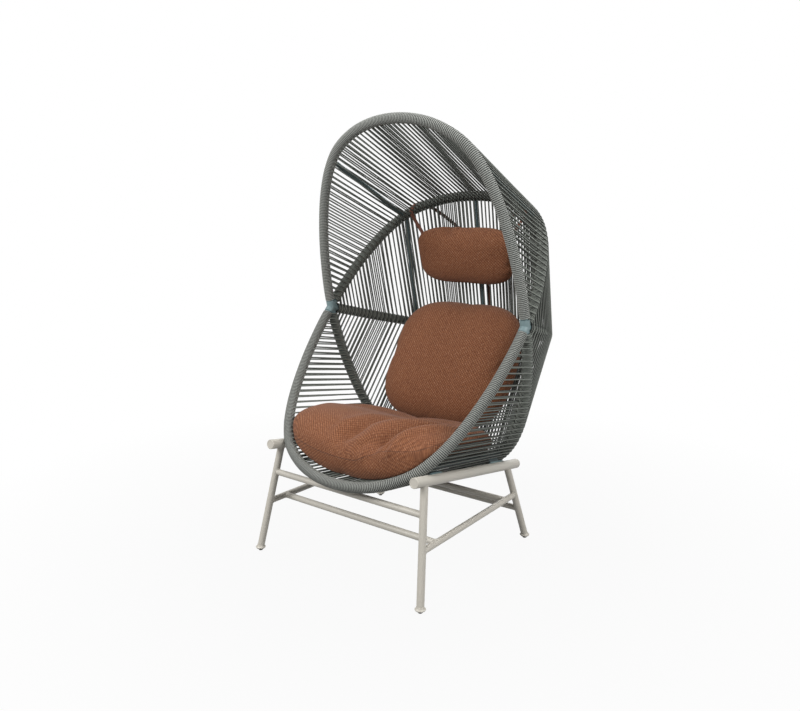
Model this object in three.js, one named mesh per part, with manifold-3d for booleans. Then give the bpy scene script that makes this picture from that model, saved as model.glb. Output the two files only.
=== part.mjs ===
// Pod chair: bent tube hoops strung with cord, on a splayed tube base, with three loose cushions.
// Millimetres and degrees. The mouth faces -Y, +Z is up and the floor is at z = 0.
// The feature with the most work in it is the strung shell: cord that whips the rims and runs in two
// skewed layers from hoop to hoop.
import * as THREE from 'three';
import { mergeVertices } from 'three/addons/utils/BufferGeometryUtils.js';
import Module from 'manifold-3d';

const wasm = await Module();
wasm.setup();

// Fits
const fitGap = 0.3;
const cushionGap = 0.9;
const overrun = 12;
const weldDistance = 0.0001;

// Hoops: every hoop lies in a plane through the line between the two corner fittings
const cornerHalfWidth = 431.5;
const cornerY = -14;
const cornerHeight = 834;
const hoopTubeRadius = 12.5;
const upperRim = { angle: 77, reach: 692 };
const hoodRib = { angle: 130.4, reach: 565 };
const middleRib = { angle: 194, reach: 476 };
const seatRib = { angle: 254.5, reach: 611 };
const lowerRim = { angle: 312.7, reach: 685 };

// Half of the hoops' common outline: share of the reach, share of the half width
const hoopOutlineShares = [
  [0, 1], [0.09, 1], [0.2, 0.987], [0.34, 0.959], [0.5, 0.906], [0.64, 0.838],
  [0.77, 0.74], [0.87, 0.613], [0.945, 0.425], [0.985, 0.232], [1, 0],
];
const hoopSides = 8;
const hoopSteps = 34;
const middleShare = 0.5;

// Corner fittings: two thick arms that take the rims, and three stubs that the ribs butt on
const armRadius = 17;
const armLength = 30;
const armSocketDepth = 20;
const stubLength = 32;
const armSides = 12;

// Cord
const cordRadius = 2.8;
const whippedRadius = hoopTubeRadius + 2 * cordRadius;
const cordSides = 4;
const halfTurnSteps = 3;
const firstTurnShare = 0.036;
const laneSteps = 11;
const laneShare = laneSteps / hoopSteps;
const laneHalfShare = 0.026;
const centreHalfShare = 0.004;
const outerTurns = 6;
const innerTurns = 5;
const lastPassShare = 0.28;

// Struts and uprights of the shell
const strutRadius = 9;
const hoodStrutX = 297;
const uprightX = 291;

// Base
const railX = 314.5;
const railRadius = 17;
const railFront = { y: -468.4, belowStrut: 26.5 };
const railRear = { y: 171.1, belowStrut: 38 };
const railChamfer = 1.5;
const railRearRound = 6;
const railRoundShare = 0.3;
const railSides = 16;
const legRadius = 12.5;
const legSides = 14;
const frontLeg = { footX: 359.3, footY: -493.3, topY: -412.5 };
const backLeg = { footX: 350.5, footY: 191.2, topY: 96.5 };
const stretcherRadius = 11;
const stretcherSides = 12;
const frontStretcherHeight = 289.5;
const sideStretcherHeight = 182;
const backStretcherHeight = 124.7;
const frontCrossShare = 0.132;
const rearCrossShare = 0.883;

// Feet: a flared collar on each leg, and a glide whose stem screws into it
const collarRadius = 17.8;
const collarTopHeight = 21;
const collarRimHeight = 12.5;
const collarUnderHeight = 5.5;
const collarUnderRadius = 8.5;
const collarShoulderShare = 0.86;
const collarUnderShare = 0.5;
const collarFlareShare = 0.3;
const glideRadius = 8;
const glideFaceRadius = 5.5;
const glideEdgeHeight = 2.5;
const glideStemRadius = 4;
const glideStemLength = 18;
const glideSides = 12;

// Saddle pads between the rails and the seat struts, by their ends along Y
const padWidth = 26;
const padUndersideShare = 0.5;
const frontPad = { frontY: -380, rearY: -315 };
const rearPad = { frontY: -21, rearY: 77 };

// Cushions: sizes along their own width, height and thickness. Each lies by the straight line between
// the middles of two hoops, at a share of it and so far inwards.
const seatCushion = {
  width: 700,
  height: 540,
  front: 102,
  back: 100,
  x: 0,
  alongShare: 0.45,
  inwards: 100,
  bow: 62,
  drawShare: 0,
  cornerPower: 2.6,
  fullnessPower: 3.6,
  taperShare: 0,
};
const backCushion = {
  width: 548,
  height: 515,
  front: 106,
  back: 135,
  x: -8,
  alongShare: 0.64,
  inwards: 133,
  bow: 22,
  drawShare: 0,
  cornerPower: 3.3,
  fullnessPower: 2.8,
  taperShare: 0,
};
const headPillow = {
  width: 445,
  height: 232,
  front: 62,
  back: 48,
  x: -8,
  alongShare: 0.606,
  inwards: 78.5,
  bow: 14,
  drawShare: 0.05,
  cornerPower: 3.2,
  fullnessPower: 2.6,
  taperShare: 0.05,
};
const cushionSpokes = 28;
const cushionRings = 6;

// Straps: from the pillow slanting over the hood rib and down the outside, to tails at the middle
const strapWidth = 14;
const strapThickness = 2;
const strapArcSteps = 6;
const strapSlantSteps = 4;
const strapPillowX = 200;
const strapPillowHeight = 76;
const strapTurnShare = 0.038;
const strapMeetShare = 0.39;
const leftTail = { aside: 10, downShare: 0.45 };
const rightTail = { aside: 22, downShare: 0.85 };

// Colours
const colours = {
  base: 0xb5b0a6,
  shellMetal: 0x6f8080,
  cord: 0x777a75,
  cushion: 0x7e4d38,
  strap: 0x6b4433,
  glide: 0x151515,
};

const chair = new THREE.Group();
const frameGroup = new THREE.Group();
const cordGroup = new THREE.Group();
const baseGroup = new THREE.Group();
const softGroup = new THREE.Group();
chair.add(frameGroup, cordGroup, baseGroup, softGroup);

function materialOf(colour, roughness, metalness) {
  return new THREE.MeshStandardMaterial({ color: colour, roughness, metalness });
}

function addPiece(group, name, geometry, material) {
  const mesh = new THREE.Mesh(geometry, material());
  mesh.name = name;
  group.add(mesh);
  return mesh;
}

const baseMetal = () => materialOf(colours.base, 0.5, 0.1);
const shellMetal = () => materialOf(colours.shellMetal, 0.5, 0.1);
const cordStuff = () => materialOf(colours.cord, 0.85, 0);
const cushionCloth = () => materialOf(colours.cushion, 0.95, 0);
const strapCloth = () => materialOf(colours.strap, 0.9, 0);
const glidePlastic = () => materialOf(colours.glide, 0.6, 0);

// Booleans
function solidOf(geometry) {
  const bare = geometry.clone();
  bare.deleteAttribute('normal');
  bare.deleteAttribute('uv');
  const merged = mergeVertices(bare, weldDistance);
  return new wasm.Manifold(new wasm.Mesh({
    numProp: 3,
    vertProperties: new Float32Array(merged.attributes.position.array),
    triVerts: new Uint32Array(merged.index.array),
  }));
}

function geometryOf(solid) {
  const mesh = solid.getMesh();
  const geometry = new THREE.BufferGeometry();
  geometry.setAttribute('position', new THREE.BufferAttribute(new Float32Array(mesh.vertProperties), 3));
  geometry.setIndex(new THREE.BufferAttribute(new Uint32Array(mesh.triVerts), 1));
  return geometry;
}

function cutBy(geometry, cutters) {
  let solid = solidOf(geometry);
  for (const cutter of cutters) {
    solid = solid.subtract(solidOf(cutter));
  }
  return geometryOf(solid);
}

// A mirrored triangle takes its corners the other way round
const triangleOrder = [0, 2, 1];

function mirrored(geometry) {
  const copy = geometry.index ? geometry.toNonIndexed() : geometry.clone();
  copy.deleteAttribute('normal');
  copy.deleteAttribute('uv');
  const position = copy.attributes.position;
  for (let first = 0; first < position.count; first += triangleOrder.length) {
    const corners = triangleOrder.map((_, offset) => (
      new THREE.Vector3().fromBufferAttribute(position, first + offset)
    ));
    triangleOrder.forEach((from, to) => {
      position.setXYZ(first + to, -corners[from].x, corners[from].y, corners[from].z);
    });
  }
  return mergeVertices(copy, weldDistance);
}

// A left piece and its mirror image on the right
function addPair(group, name, geometry, material) {
  addPiece(group, `${name}_left`, geometry, material);
  addPiece(group, `${name}_right`, mirrored(geometry), material);
}

// Straight tubes and turned pieces
function alongAxis(geometry, start, end) {
  const direction = end.clone().sub(start).normalize();
  const turn = new THREE.Quaternion().setFromUnitVectors(new THREE.Vector3(0, 1, 0), direction);
  geometry.applyQuaternion(turn);
  geometry.translate(start.x, start.y, start.z);
  return geometry;
}

function tubeBetween(start, end, radius, sides) {
  const length = start.distanceTo(end);
  const tube = new THREE.CylinderGeometry(radius, radius, length, sides, 1);
  tube.translate(0, length / 2, 0);
  return alongAxis(tube, start, end);
}

function turned(profile, sides) {
  const outline = profile.map(([radius, height]) => new THREE.Vector2(radius, height));
  return new THREE.LatheGeometry(outline, sides);
}

// Hoops
function hoopDirection(hoop) {
  const angle = THREE.MathUtils.degToRad(hoop.angle);
  return new THREE.Vector3(0, -Math.cos(angle), Math.sin(angle));
}

function hoopCurve(hoop) {
  const direction = hoopDirection(hoop);
  const pointAt = ([reachShare, widthShare], side) => new THREE.Vector3(
    side * widthShare * cornerHalfWidth, cornerY, cornerHeight,
  ).addScaledVector(direction, reachShare * hoop.reach);
  const left = hoopOutlineShares.map((shares) => pointAt(shares, -1));
  const right = hoopOutlineShares.slice(0, -1).reverse().map((shares) => pointAt(shares, 1));
  const curve = new THREE.CatmullRomCurve3([...left, ...right], false, 'centripetal');
  curve.arcLengthDivisions = 800;
  return curve;
}

const allHoops = [upperRim, hoodRib, middleRib, seatRib, lowerRim];
const curves = new Map(allHoops.map((hoop) => [hoop, hoopCurve(hoop)]));

const stations = new Map([...curves].map(([hoop, curve]) => [hoop, curve.getSpacedPoints(hoopSteps)]));

// Hoops are bent in short straight steps, and all that touches them follows the same steps
function pointOn(hoop, share) {
  const step = Math.min(Math.floor(share * hoopSteps), hoopSteps - 1);
  const [start, end] = stations.get(hoop).slice(step, step + 2);
  return start.clone().lerp(end, share * hoopSteps - step);
}

function tangentOn(hoop, share) {
  return curves.get(hoop).getTangentAt(share);
}

// A closed solid through rings of corners, with a bore when it is given rings of its own
function loft(rings, bores = null) {
  const sides = rings[0].length;
  const corners = [...rings, ...(bores ?? [])].flat().flatMap((corner) => corner.toArray());
  const triangles = [];
  const addQuad = (a, b, c, d) => triangles.push(a, b, c, a, c, d);
  const boreStart = rings.length * sides;
  for (let side = 0; side < sides; side += 1) {
    const next = (side + 1) % sides;
    for (let ring = 0; ring + 1 < rings.length; ring += 1) {
      const [low, high] = [ring * sides, (ring + 1) * sides];
      addQuad(low + side, low + next, high + next, high + side);
      if (bores) {
        const [boreLow, boreHigh] = [boreStart + low, boreStart + high];
        addQuad(boreLow + side, boreHigh + side, boreHigh + next, boreLow + next);
      }
    }
    const last = (rings.length - 1) * sides;
    if (bores) {
      addQuad(side, boreStart + side, boreStart + next, next);
      addQuad(last + side, last + next, boreStart + last + next, boreStart + last + side);
    } else if (side > 0 && side + 1 < sides) {
      triangles.push(0, side + 1, side, last, last + side, last + side + 1);
    }
  }
  const geometry = new THREE.BufferGeometry();
  geometry.setAttribute('position', new THREE.Float32BufferAttribute(corners, 3));
  geometry.setIndex(triangles);
  return geometry;
}

function hoopRing(hoop, share, radius) {
  const planeNormal = new THREE.Vector3(1, 0, 0).cross(hoopDirection(hoop));
  const sideways = planeNormal.clone().cross(tangentOn(hoop, share)).normalize();
  const centre = pointOn(hoop, share);
  return Array.from({ length: hoopSides }, (_, side) => {
    const angle = (2 * Math.PI * (side + 0.5)) / hoopSides;
    return centre.clone()
      .addScaledVector(sideways, radius * Math.cos(angle))
      .addScaledVector(planeNormal, radius * Math.sin(angle));
  });
}

function hoopTube(hoop, radius, from, to, bore = 0) {
  const shares = [from];
  for (let step = 1; step < hoopSteps; step += 1) {
    const share = step / hoopSteps;
    if (share > from + shareOf(hoop, hoopTubeRadius / 2) && share < to - shareOf(hoop, hoopTubeRadius / 2)) {
      shares.push(share);
    }
  }
  shares.push(to);
  const ringsOf = (ringRadius) => shares.map((share) => hoopRing(hoop, share, ringRadius));
  return loft(ringsOf(radius), bore > 0 ? ringsOf(bore) : null);
}

function shareOf(hoop, length) {
  return length / curves.get(hoop).getLength();
}

// The share of the hoop's length, on the left half, where it is x away from the middle
function shareAtX(hoop, x) {
  let [low, high] = [0, middleShare];
  for (let halving = 0; halving < 40; halving += 1) {
    const middle = (low + high) / 2;
    if (-pointOn(hoop, middle).x > x) {
      low = middle;
    } else {
      high = middle;
    }
  }
  return low;
}

function addHoop(name, hoop, startLength) {
  const start = shareOf(hoop, startLength);
  addPiece(frameGroup, name, hoopTube(hoop, hoopTubeRadius, start, 1 - start), shellMetal);
}

const rimStart = armLength - armSocketDepth + fitGap;
const ribStart = stubLength + fitGap;
addHoop('upper_rim_tube', upperRim, rimStart);
addHoop('lower_rim_tube', lowerRim, rimStart);
addHoop('hood_rib', hoodRib, ribStart);
addHoop('middle_rib', middleRib, ribStart);
addHoop('seat_rib', seatRib, ribStart);

// Corner fittings
function cornerFitting() {
  const centre = new THREE.Vector3(-cornerHalfWidth, cornerY, cornerHeight);
  const reachTo = (hoop, length) => centre.clone().addScaledVector(hoopDirection(hoop), length);
  const hub = new THREE.SphereGeometry(armRadius, armSides, armSides / 2);
  hub.translate(centre.x, centre.y, centre.z);
  let fitting = solidOf(hub);
  for (const rib of [hoodRib, middleRib, seatRib]) {
    fitting = fitting.add(solidOf(tubeBetween(centre, reachTo(rib, stubLength), hoopTubeRadius, armSides)));
  }
  for (const rim of [upperRim, lowerRim]) {
    fitting = fitting.add(solidOf(tubeBetween(centre, reachTo(rim, armLength), armRadius, armSides)));
  }
  for (const rim of [upperRim, lowerRim]) {
    const socketStart = reachTo(rim, armLength - armSocketDepth);
    const socketEnd = reachTo(rim, armLength + overrun);
    const socketRadius = (hoopTubeRadius + fitGap) / Math.cos(Math.PI / armSides);
    const socket = tubeBetween(socketStart, socketEnd, socketRadius, armSides);
    fitting = fitting.subtract(solidOf(socket));
  }
  return geometryOf(fitting);
}

addPair(frameGroup, 'corner_fitting', cornerFitting(), shellMetal);

// Struts between two hoops, coped to what they meet at each end
function strutBetween(hoopA, shareA, radiusA, hoopB, shareB, radiusB) {
  const start = pointOn(hoopA, shareA);
  const end = pointOn(hoopB, shareB);
  return cutBy(tubeBetween(start, end, strutRadius, stretcherSides), [
    hoopTube(hoopA, radiusA + fitGap, 0, 1),
    hoopTube(hoopB, radiusB + fitGap, 0, 1),
  ]);
}

addPair(frameGroup, 'hood_strut', strutBetween(
  upperRim, shareAtX(upperRim, hoodStrutX), whippedRadius,
  hoodRib, shareAtX(hoodRib, hoodStrutX), hoopTubeRadius,
), shellMetal);

function upright(x) {
  return strutBetween(
    hoodRib, shareAtX(hoodRib, x), hoopTubeRadius,
    middleRib, shareAtX(middleRib, x), hoopTubeRadius,
  );
}

addPair(frameGroup, 'back_upright', upright(uprightX), shellMetal);
addPiece(frameGroup, 'back_upright_centre', upright(0), shellMetal);
addPair(frameGroup, 'seat_strut', strutBetween(
  lowerRim, laneShare, whippedRadius, seatRib, laneShare, hoopTubeRadius,
), shellMetal);

// Cord: at a share of its length a hoop has a frame of its tangent, the way to the other hoop, and
// the way out of the shell
function frameAt(hoop, other, share) {
  const point = pointOn(hoop, share);
  const tangent = tangentOn(hoop, share);
  const toOther = pointOn(other, share).sub(point);
  toOther.addScaledVector(tangent, -toOther.dot(tangent)).normalize();
  return { point, tangent, toOther, outward: tangent.clone().cross(toOther) };
}

const windingRadius = hoopTubeRadius + fitGap + cordRadius;
const windingCornerRadius = windingRadius / Math.cos(Math.PI / (2 * halfTurnSteps));

// The cord's centre points round the far side of a hoop, from one layer to the other
function halfTurn(hoop, other, share, startSide) {
  const { point, tangent, toOther, outward } = frameAt(hoop, other, share);
  const stops = [];
  for (let step = 0; step <= halfTurnSteps; step += 1) {
    const angle = (Math.PI * step) / halfTurnSteps;
    const centre = point.clone()
      .addScaledVector(outward, startSide * windingCornerRadius * Math.cos(angle))
      .addScaledVector(toOther, -windingCornerRadius * Math.sin(angle));
    stops.push({ centre, across: tangent });
  }
  return stops;
}

function besideHoop(hoop, other, share, side) {
  const { point, tangent, outward } = frameAt(hoop, other, share);
  return { centre: point.clone().addScaledVector(outward, side * windingRadius), across: tangent };
}

function cordTube(stops) {
  return loft(stops.map(({ centre, across }, index) => {
    const before = stops[Math.max(index - 1, 0)].centre;
    const after = stops[Math.min(index + 1, stops.length - 1)].centre;
    const direction = after.clone().sub(before).normalize();
    const sideways = across.clone().addScaledVector(direction, -across.dot(direction)).normalize();
    const upward = direction.clone().cross(sideways);
    return Array.from({ length: cordSides }, (_, side) => {
      const angle = (2 * Math.PI * side) / cordSides;
      return centre.clone()
        .addScaledVector(sideways, cordRadius * Math.cos(angle))
        .addScaledVector(upward, cordRadius * Math.sin(angle));
    });
  }));
}

// The turns of one section, as shares of the hoops' length
const sections = [
  { place: 'side', from: firstTurnShare, to: laneShare - laneHalfShare, turns: outerTurns },
  {
    place: 'middle',
    from: laneShare + laneHalfShare,
    to: middleShare - centreHalfShare,
    turns: innerTurns,
  },
];

function pitchOf(section) {
  return (section.to - section.from) / section.turns;
}

const cordPaths = [];

// A section of the back: one unbroken cord, wound round both hoops in turn
function backSection(hoopA, hoopB, section) {
  const pitch = pitchOf(section);
  const stops = [];
  for (let turn = 0; turn < section.turns; turn += 1) {
    const share = section.from + turn * pitch;
    stops.push(...halfTurn(hoopA, hoopB, share, -1));
    stops.push(...halfTurn(hoopB, hoopA, share + pitch / 2, -1));
  }
  stops.push(besideHoop(hoopA, hoopB, section.to - lastPassShare * pitch, -1));
  cordPaths.push(stops);
  return cordTube(stops);
}

// A section at a rim: the whipping of the rim, and the loops that leave it for the next rib
function rimSection(rim, rib, section, ribShift) {
  const pitch = pitchOf(section);
  const isSide = section === sections[0];
  const whippingStart = isSide ? shareOf(rim, armLength + fitGap) : laneShare + shareOf(rim, fitGap / 2);
  const whippingEnd = (isSide ? laneShare : middleShare) - shareOf(rim, fitGap / 2);
  let solid = solidOf(hoopTube(rim, whippedRadius, whippingStart, whippingEnd, hoopTubeRadius + fitGap));
  for (let turn = 0; turn < section.turns; turn += 1) {
    const share = section.from + (turn + ribShift) * pitch;
    const stops = [
      besideHoop(rim, rib, share - pitch / 4, 1),
      ...halfTurn(rib, rim, share, -1),
      besideHoop(rim, rib, share + pitch / 4, -1),
    ];
    cordPaths.push(stops);
    solid = solid.add(solidOf(cordTube(stops)));
  }
  return geometryOf(solid);
}

function addCord(panel, section, geometry) {
  addPair(cordGroup, `${panel}_cord_${section.place}`, geometry, cordStuff);
}

for (const section of sections) {
  addCord('hood', section, rimSection(upperRim, hoodRib, section, 0.5));
  addCord('upper_back', section, backSection(hoodRib, middleRib, section));
  addCord('lower_back', section, backSection(middleRib, seatRib, section));
  addCord('seat', section, rimSection(lowerRim, seatRib, section, 0));
}

// The least gap between two stretches of cord that don't follow each other
function leastCordGap(paths) {
  const samples = [];
  paths.forEach((stops, path) => {
    for (let index = 0; index + 1 < stops.length; index += 1) {
      const [start, end] = [stops[index].centre, stops[index + 1].centre];
      const count = Math.max(1, Math.round(start.distanceTo(end) / cordRadius));
      for (let step = 0; step < count; step += 1) {
        samples.push({ path, index, point: start.clone().lerp(end, step / count) });
      }
    }
  });
  let least = Infinity;
  samples.forEach((one, number) => {
    for (let other = number + 1; other < samples.length; other += 1) {
      const two = samples[other];
      const apart = one.path !== two.path || two.index - one.index > halfTurnSteps;
      if (apart) {
        least = Math.min(least, one.point.distanceTo(two.point));
      }
    }
  });
  return least - 2 * cordRadius;
}

console.log(`least gap between cord turns: ${leastCordGap(cordPaths).toFixed(2)} mm`);

// Base: the rails lie under the seat struts
const strutStart = pointOn(lowerRim, laneShare);
const strutEnd = pointOn(seatRib, laneShare);

function strutPointAtY(y) {
  return strutStart.clone().lerp(strutEnd, (y - strutStart.y) / (strutEnd.y - strutStart.y));
}

function railPoint({ y, belowStrut }) {
  return new THREE.Vector3(-railX, y, strutPointAtY(y).z - belowStrut);
}

const railStart = railPoint(railFront);
const railEnd = railPoint(railRear);
const railLength = railStart.distanceTo(railEnd);

function railPointAtY(y) {
  return railStart.clone().lerp(railEnd, (y - railFront.y) / (railRear.y - railFront.y));
}

function railCutter() {
  return tubeBetween(railStart, railEnd, railRadius + fitGap, railSides);
}

const railProfile = [
  [0, 0],
  [railRadius - railChamfer, 0],
  [railRadius, railChamfer],
  [railRadius, railLength - railRearRound],
  [railRadius - railRearRound * railRoundShare, railLength - railRearRound * railRoundShare],
  [railRadius - railRearRound, railLength],
  [0, railLength],
];
addPair(baseGroup, 'rail', alongAxis(turned(railProfile, railSides), railStart, railEnd), baseMetal);

function legTop(leg) {
  return railPointAtY(leg.topY);
}

function legPointAt(leg, height) {
  const top = legTop(leg);
  const foot = new THREE.Vector3(-leg.footX, leg.footY, 0);
  return foot.lerp(top, height / top.z);
}

const legEndHeight = (collarRimHeight + collarTopHeight) / 2;

function legTube(leg, radius) {
  return tubeBetween(legPointAt(leg, legEndHeight), legTop(leg), radius, legSides);
}

function legWithCollar(leg) {
  const collarCentre = legPointAt(leg, collarRimHeight);
  const shoulderRadius = collarRadius * collarShoulderShare;
  const underHeight = THREE.MathUtils.lerp(collarUnderHeight, collarRimHeight, collarUnderShare);
  const flareHeight = THREE.MathUtils.lerp(collarRimHeight, collarTopHeight, collarFlareShare);
  const collar = turned([
    [0, collarUnderHeight],
    [collarUnderRadius, collarUnderHeight],
    [shoulderRadius, underHeight],
    [collarRadius, collarRimHeight],
    [shoulderRadius, flareHeight],
    [legRadius, collarTopHeight],
    [0, collarTopHeight],
  ], legSides).rotateX(Math.PI / 2);
  collar.translate(collarCentre.x, collarCentre.y, 0);
  const socketEnd = collarUnderHeight + glideStemLength + 2 * fitGap;
  const socket = tubeBetween(
    new THREE.Vector3(collarCentre.x, collarCentre.y, 0),
    new THREE.Vector3(collarCentre.x, collarCentre.y, socketEnd),
    glideStemRadius + fitGap, glideSides,
  );
  const whole = solidOf(legTube(leg, legRadius)).add(solidOf(collar));
  return geometryOf(whole.subtract(solidOf(socket)).subtract(solidOf(railCutter())));
}

function glide() {
  const headTop = collarUnderHeight - fitGap;
  return turned([
    [0, 0],
    [glideFaceRadius, 0],
    [glideRadius, glideEdgeHeight],
    [glideRadius, headTop],
    [glideStemRadius, headTop],
    [glideStemRadius, headTop + glideStemLength],
    [0, headTop + glideStemLength],
  ], glideSides);
}

for (const [place, leg] of [['front', frontLeg], ['back', backLeg]]) {
  addPair(baseGroup, `leg_${place}`, legWithCollar(leg), baseMetal);
  const foot = legPointAt(leg, collarRimHeight);
  for (const [side, sign] of [['left', 1], ['right', -1]]) {
    const piece = addPiece(baseGroup, `glide_${place}_${side}`, glide().rotateX(Math.PI / 2), glidePlastic);
    piece.position.set(sign * foot.x, foot.y, 0);
  }
}

function across(point) {
  return new THREE.Vector3(-point.x, point.y, point.z);
}

function crossPiece(leftEnd, neighbours) {
  return cutBy(tubeBetween(leftEnd, across(leftEnd), stretcherRadius, stretcherSides), neighbours);
}

function betweenLegs(leg, height) {
  const cutter = legTube(leg, legRadius + fitGap);
  return crossPiece(legPointAt(leg, height), [cutter, mirrored(cutter)]);
}

addPiece(baseGroup, 'front_stretcher', betweenLegs(frontLeg, frontStretcherHeight), baseMetal);
addPiece(baseGroup, 'back_stretcher', betweenLegs(backLeg, backStretcherHeight), baseMetal);

const sideStart = legPointAt(frontLeg, sideStretcherHeight);
const sideEnd = legPointAt(backLeg, sideStretcherHeight);

function sideTube(radius) {
  return tubeBetween(sideStart, sideEnd, radius, stretcherSides);
}

addPair(baseGroup, 'side_stretcher', cutBy(sideTube(stretcherRadius), [
  legTube(frontLeg, legRadius + fitGap),
  legTube(backLeg, legRadius + fitGap),
]), baseMetal);

for (const [place, share] of [['front', frontCrossShare], ['rear', rearCrossShare]]) {
  const cutter = sideTube(stretcherRadius + fitGap);
  const tube = crossPiece(sideStart.clone().lerp(sideEnd, share), [cutter, mirrored(cutter)]);
  addPiece(baseGroup, `${place}_cross_tube`, tube, baseMetal);
}

// Saddle pads: a block from the rail to the seat strut, hollowed to both
function saddlePad(pad) {
  const alongRail = railEnd.clone().sub(railStart).normalize();
  const middleY = (pad.frontY + pad.rearY) / 2;
  const low = railPointAtY(middleY);
  const up = strutPointAtY(middleY).sub(low);
  up.addScaledVector(alongRail, -up.dot(alongRail));
  const height = up.length();
  up.normalize();
  const padLength = railPointAtY(pad.frontY).distanceTo(railPointAtY(pad.rearY));
  const underside = railRadius * padUndersideShare;
  const block = new THREE.BoxGeometry(padWidth, height - underside, padLength);
  block.translate(0, (height + underside) / 2, 0);
  const sideways = up.clone().cross(alongRail);
  block.applyMatrix4(new THREE.Matrix4().makeBasis(sideways, up, alongRail));
  block.translate(low.x, low.y, low.z);
  return cutBy(block, [
    railCutter(),
    tubeBetween(strutStart, strutEnd, strutRadius + fitGap, stretcherSides),
    hoopTube(lowerRim, whippedRadius + fitGap, 0, middleShare),
  ]);
}

addPair(baseGroup, 'front_saddle_pad', saddlePad(frontPad), shellMetal);
addPair(baseGroup, 'rear_saddle_pad', saddlePad(rearPad), shellMetal);

// Where a cushion lies: its middle, the way up it, and its lean back from upright
function cushionPlace(size, [lowHoop, highHoop]) {
  const low = pointOn(lowHoop, middleShare);
  const line = pointOn(highHoop, middleShare).sub(low);
  const lean = Math.atan2(line.y, line.z);
  const inwards = new THREE.Vector3(0, -Math.cos(lean), Math.sin(lean));
  const middle = low.clone().addScaledVector(line, size.alongShare).addScaledVector(inwards, size.inwards);
  middle.x = size.x;
  return { middle, up: line.normalize(), lean };
}

// Cushions: two crowned faces that meet in a seam, drawn in between the corners and bowed with the shell
function cushion(size, hoops, grow) {
  const { middle, lean } = cushionPlace(size, hoops);
  const positions = [];
  const rings = [];
  const pointAt = (spoke, share, side) => {
    const angle = (2 * Math.PI * spoke) / cushionSpokes;
    const [along, up] = [Math.cos(angle), Math.sin(angle)];
    const power = size.cornerPower;
    const round = (Math.abs(along) ** power + Math.abs(up) ** power) ** (-1 / power);
    const reach = round * (1 - size.drawShare * Math.cos(2 * angle) ** 2) * share;
    const y = up * reach * (size.height / 2 + grow);
    const taper = 1 + (size.taperShare * 2 * y) / size.height;
    const x = along * reach * taper * (size.width / 2 + grow);
    const depth = side > 0 ? size.front : size.back;
    const rise = (depth + grow) * Math.sqrt(1 - share ** size.fullnessPower);
    const bowed = size.bow * ((2 * x) / size.width) ** 2;
    return [x, y, side * rise + bowed];
  };
  const ringOf = (share, side) => {
    const first = positions.length / 3;
    for (let spoke = 0; spoke < cushionSpokes; spoke += 1) {
      positions.push(...pointAt(spoke, share, side));
    }
    return first;
  };
  const shareAt = (ring) => Math.sin((Math.PI / 2) * (ring / cushionRings));
  positions.push(...pointAt(0, 0, 1));
  for (let ring = 1; ring < cushionRings; ring += 1) {
    rings.push(ringOf(shareAt(ring), 1));
  }
  rings.push(ringOf(1, 1));
  for (let ring = cushionRings - 1; ring > 0; ring -= 1) {
    rings.push(ringOf(shareAt(ring), -1));
  }
  const lastPoint = positions.length / 3;
  positions.push(...pointAt(0, 0, -1));
  const triangles = [];
  for (let spoke = 0; spoke < cushionSpokes; spoke += 1) {
    const next = (spoke + 1) % cushionSpokes;
    triangles.push(0, rings[0] + spoke, rings[0] + next);
    for (let ring = 0; ring + 1 < rings.length; ring += 1) {
      const [near, far] = [rings[ring], rings[ring + 1]];
      triangles.push(near + spoke, far + spoke, far + next, near + spoke, far + next, near + next);
    }
    const end = rings[rings.length - 1];
    triangles.push(end + spoke, lastPoint, end + next);
  }
  const geometry = new THREE.BufferGeometry();
  geometry.setAttribute('position', new THREE.Float32BufferAttribute(positions, 3));
  geometry.setIndex(triangles);
  geometry.rotateX(Math.PI / 2);
  geometry.rotateX(-lean);
  geometry.translate(middle.x, middle.y, middle.z);
  return geometry;
}

// The room that a strung panel takes, from its inner layer outwards
function panelRoom(hoopA, hoopB, inward, outward) {
  return loft(Array.from({ length: hoopSteps + 1 }, (_, step) => {
    const share = THREE.MathUtils.clamp(step / hoopSteps, centreHalfShare, 1 - centreHalfShare);
    const [near, far] = [frameAt(hoopA, hoopB, share), frameAt(hoopB, hoopA, share)];
    return [
      near.point.clone().addScaledVector(near.outward, -inward),
      far.point.clone().addScaledVector(far.outward, inward),
      far.point.clone().addScaledVector(far.outward, -outward),
      near.point.clone().addScaledVector(near.outward, outward),
    ];
  }));
}

const layerDepth = windingCornerRadius + cordRadius;
const shellDepth = 200;
const backRooms = [
  panelRoom(hoodRib, middleRib, layerDepth + cushionGap, shellDepth),
  panelRoom(middleRib, seatRib, layerDepth + cushionGap, shellDepth),
  panelRoom(seatRib, lowerRim, layerDepth + fitGap, shellDepth),
];

const seatHoops = [lowerRim, seatRib];
const backHoops = [seatRib, middleRib];
const pillowHoops = [middleRib, hoodRib];
const seatRoom = cushion(seatCushion, seatHoops, cushionGap);
const backRoom = cushion(backCushion, backHoops, cushionGap);
const pillowRoom = cushion(headPillow, pillowHoops, cushionGap);
const rimRoom = hoopTube(lowerRim, whippedRadius + cushionGap, 0, 1);
const seatGeometry = cutBy(cushion(seatCushion, seatHoops, 0), [...backRooms, rimRoom]);
const backGeometry = cutBy(cushion(backCushion, backHoops, 0), [...backRooms, seatRoom]);
const pillowGeometry = cutBy(cushion(headPillow, pillowHoops, 0), [...backRooms, backRoom]);
addPiece(softGroup, 'seat_cushion', seatGeometry, cushionCloth);
addPiece(softGroup, 'back_cushion', backGeometry, cushionCloth);
addPiece(softGroup, 'head_pillow', pillowGeometry, cushionCloth);

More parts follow.
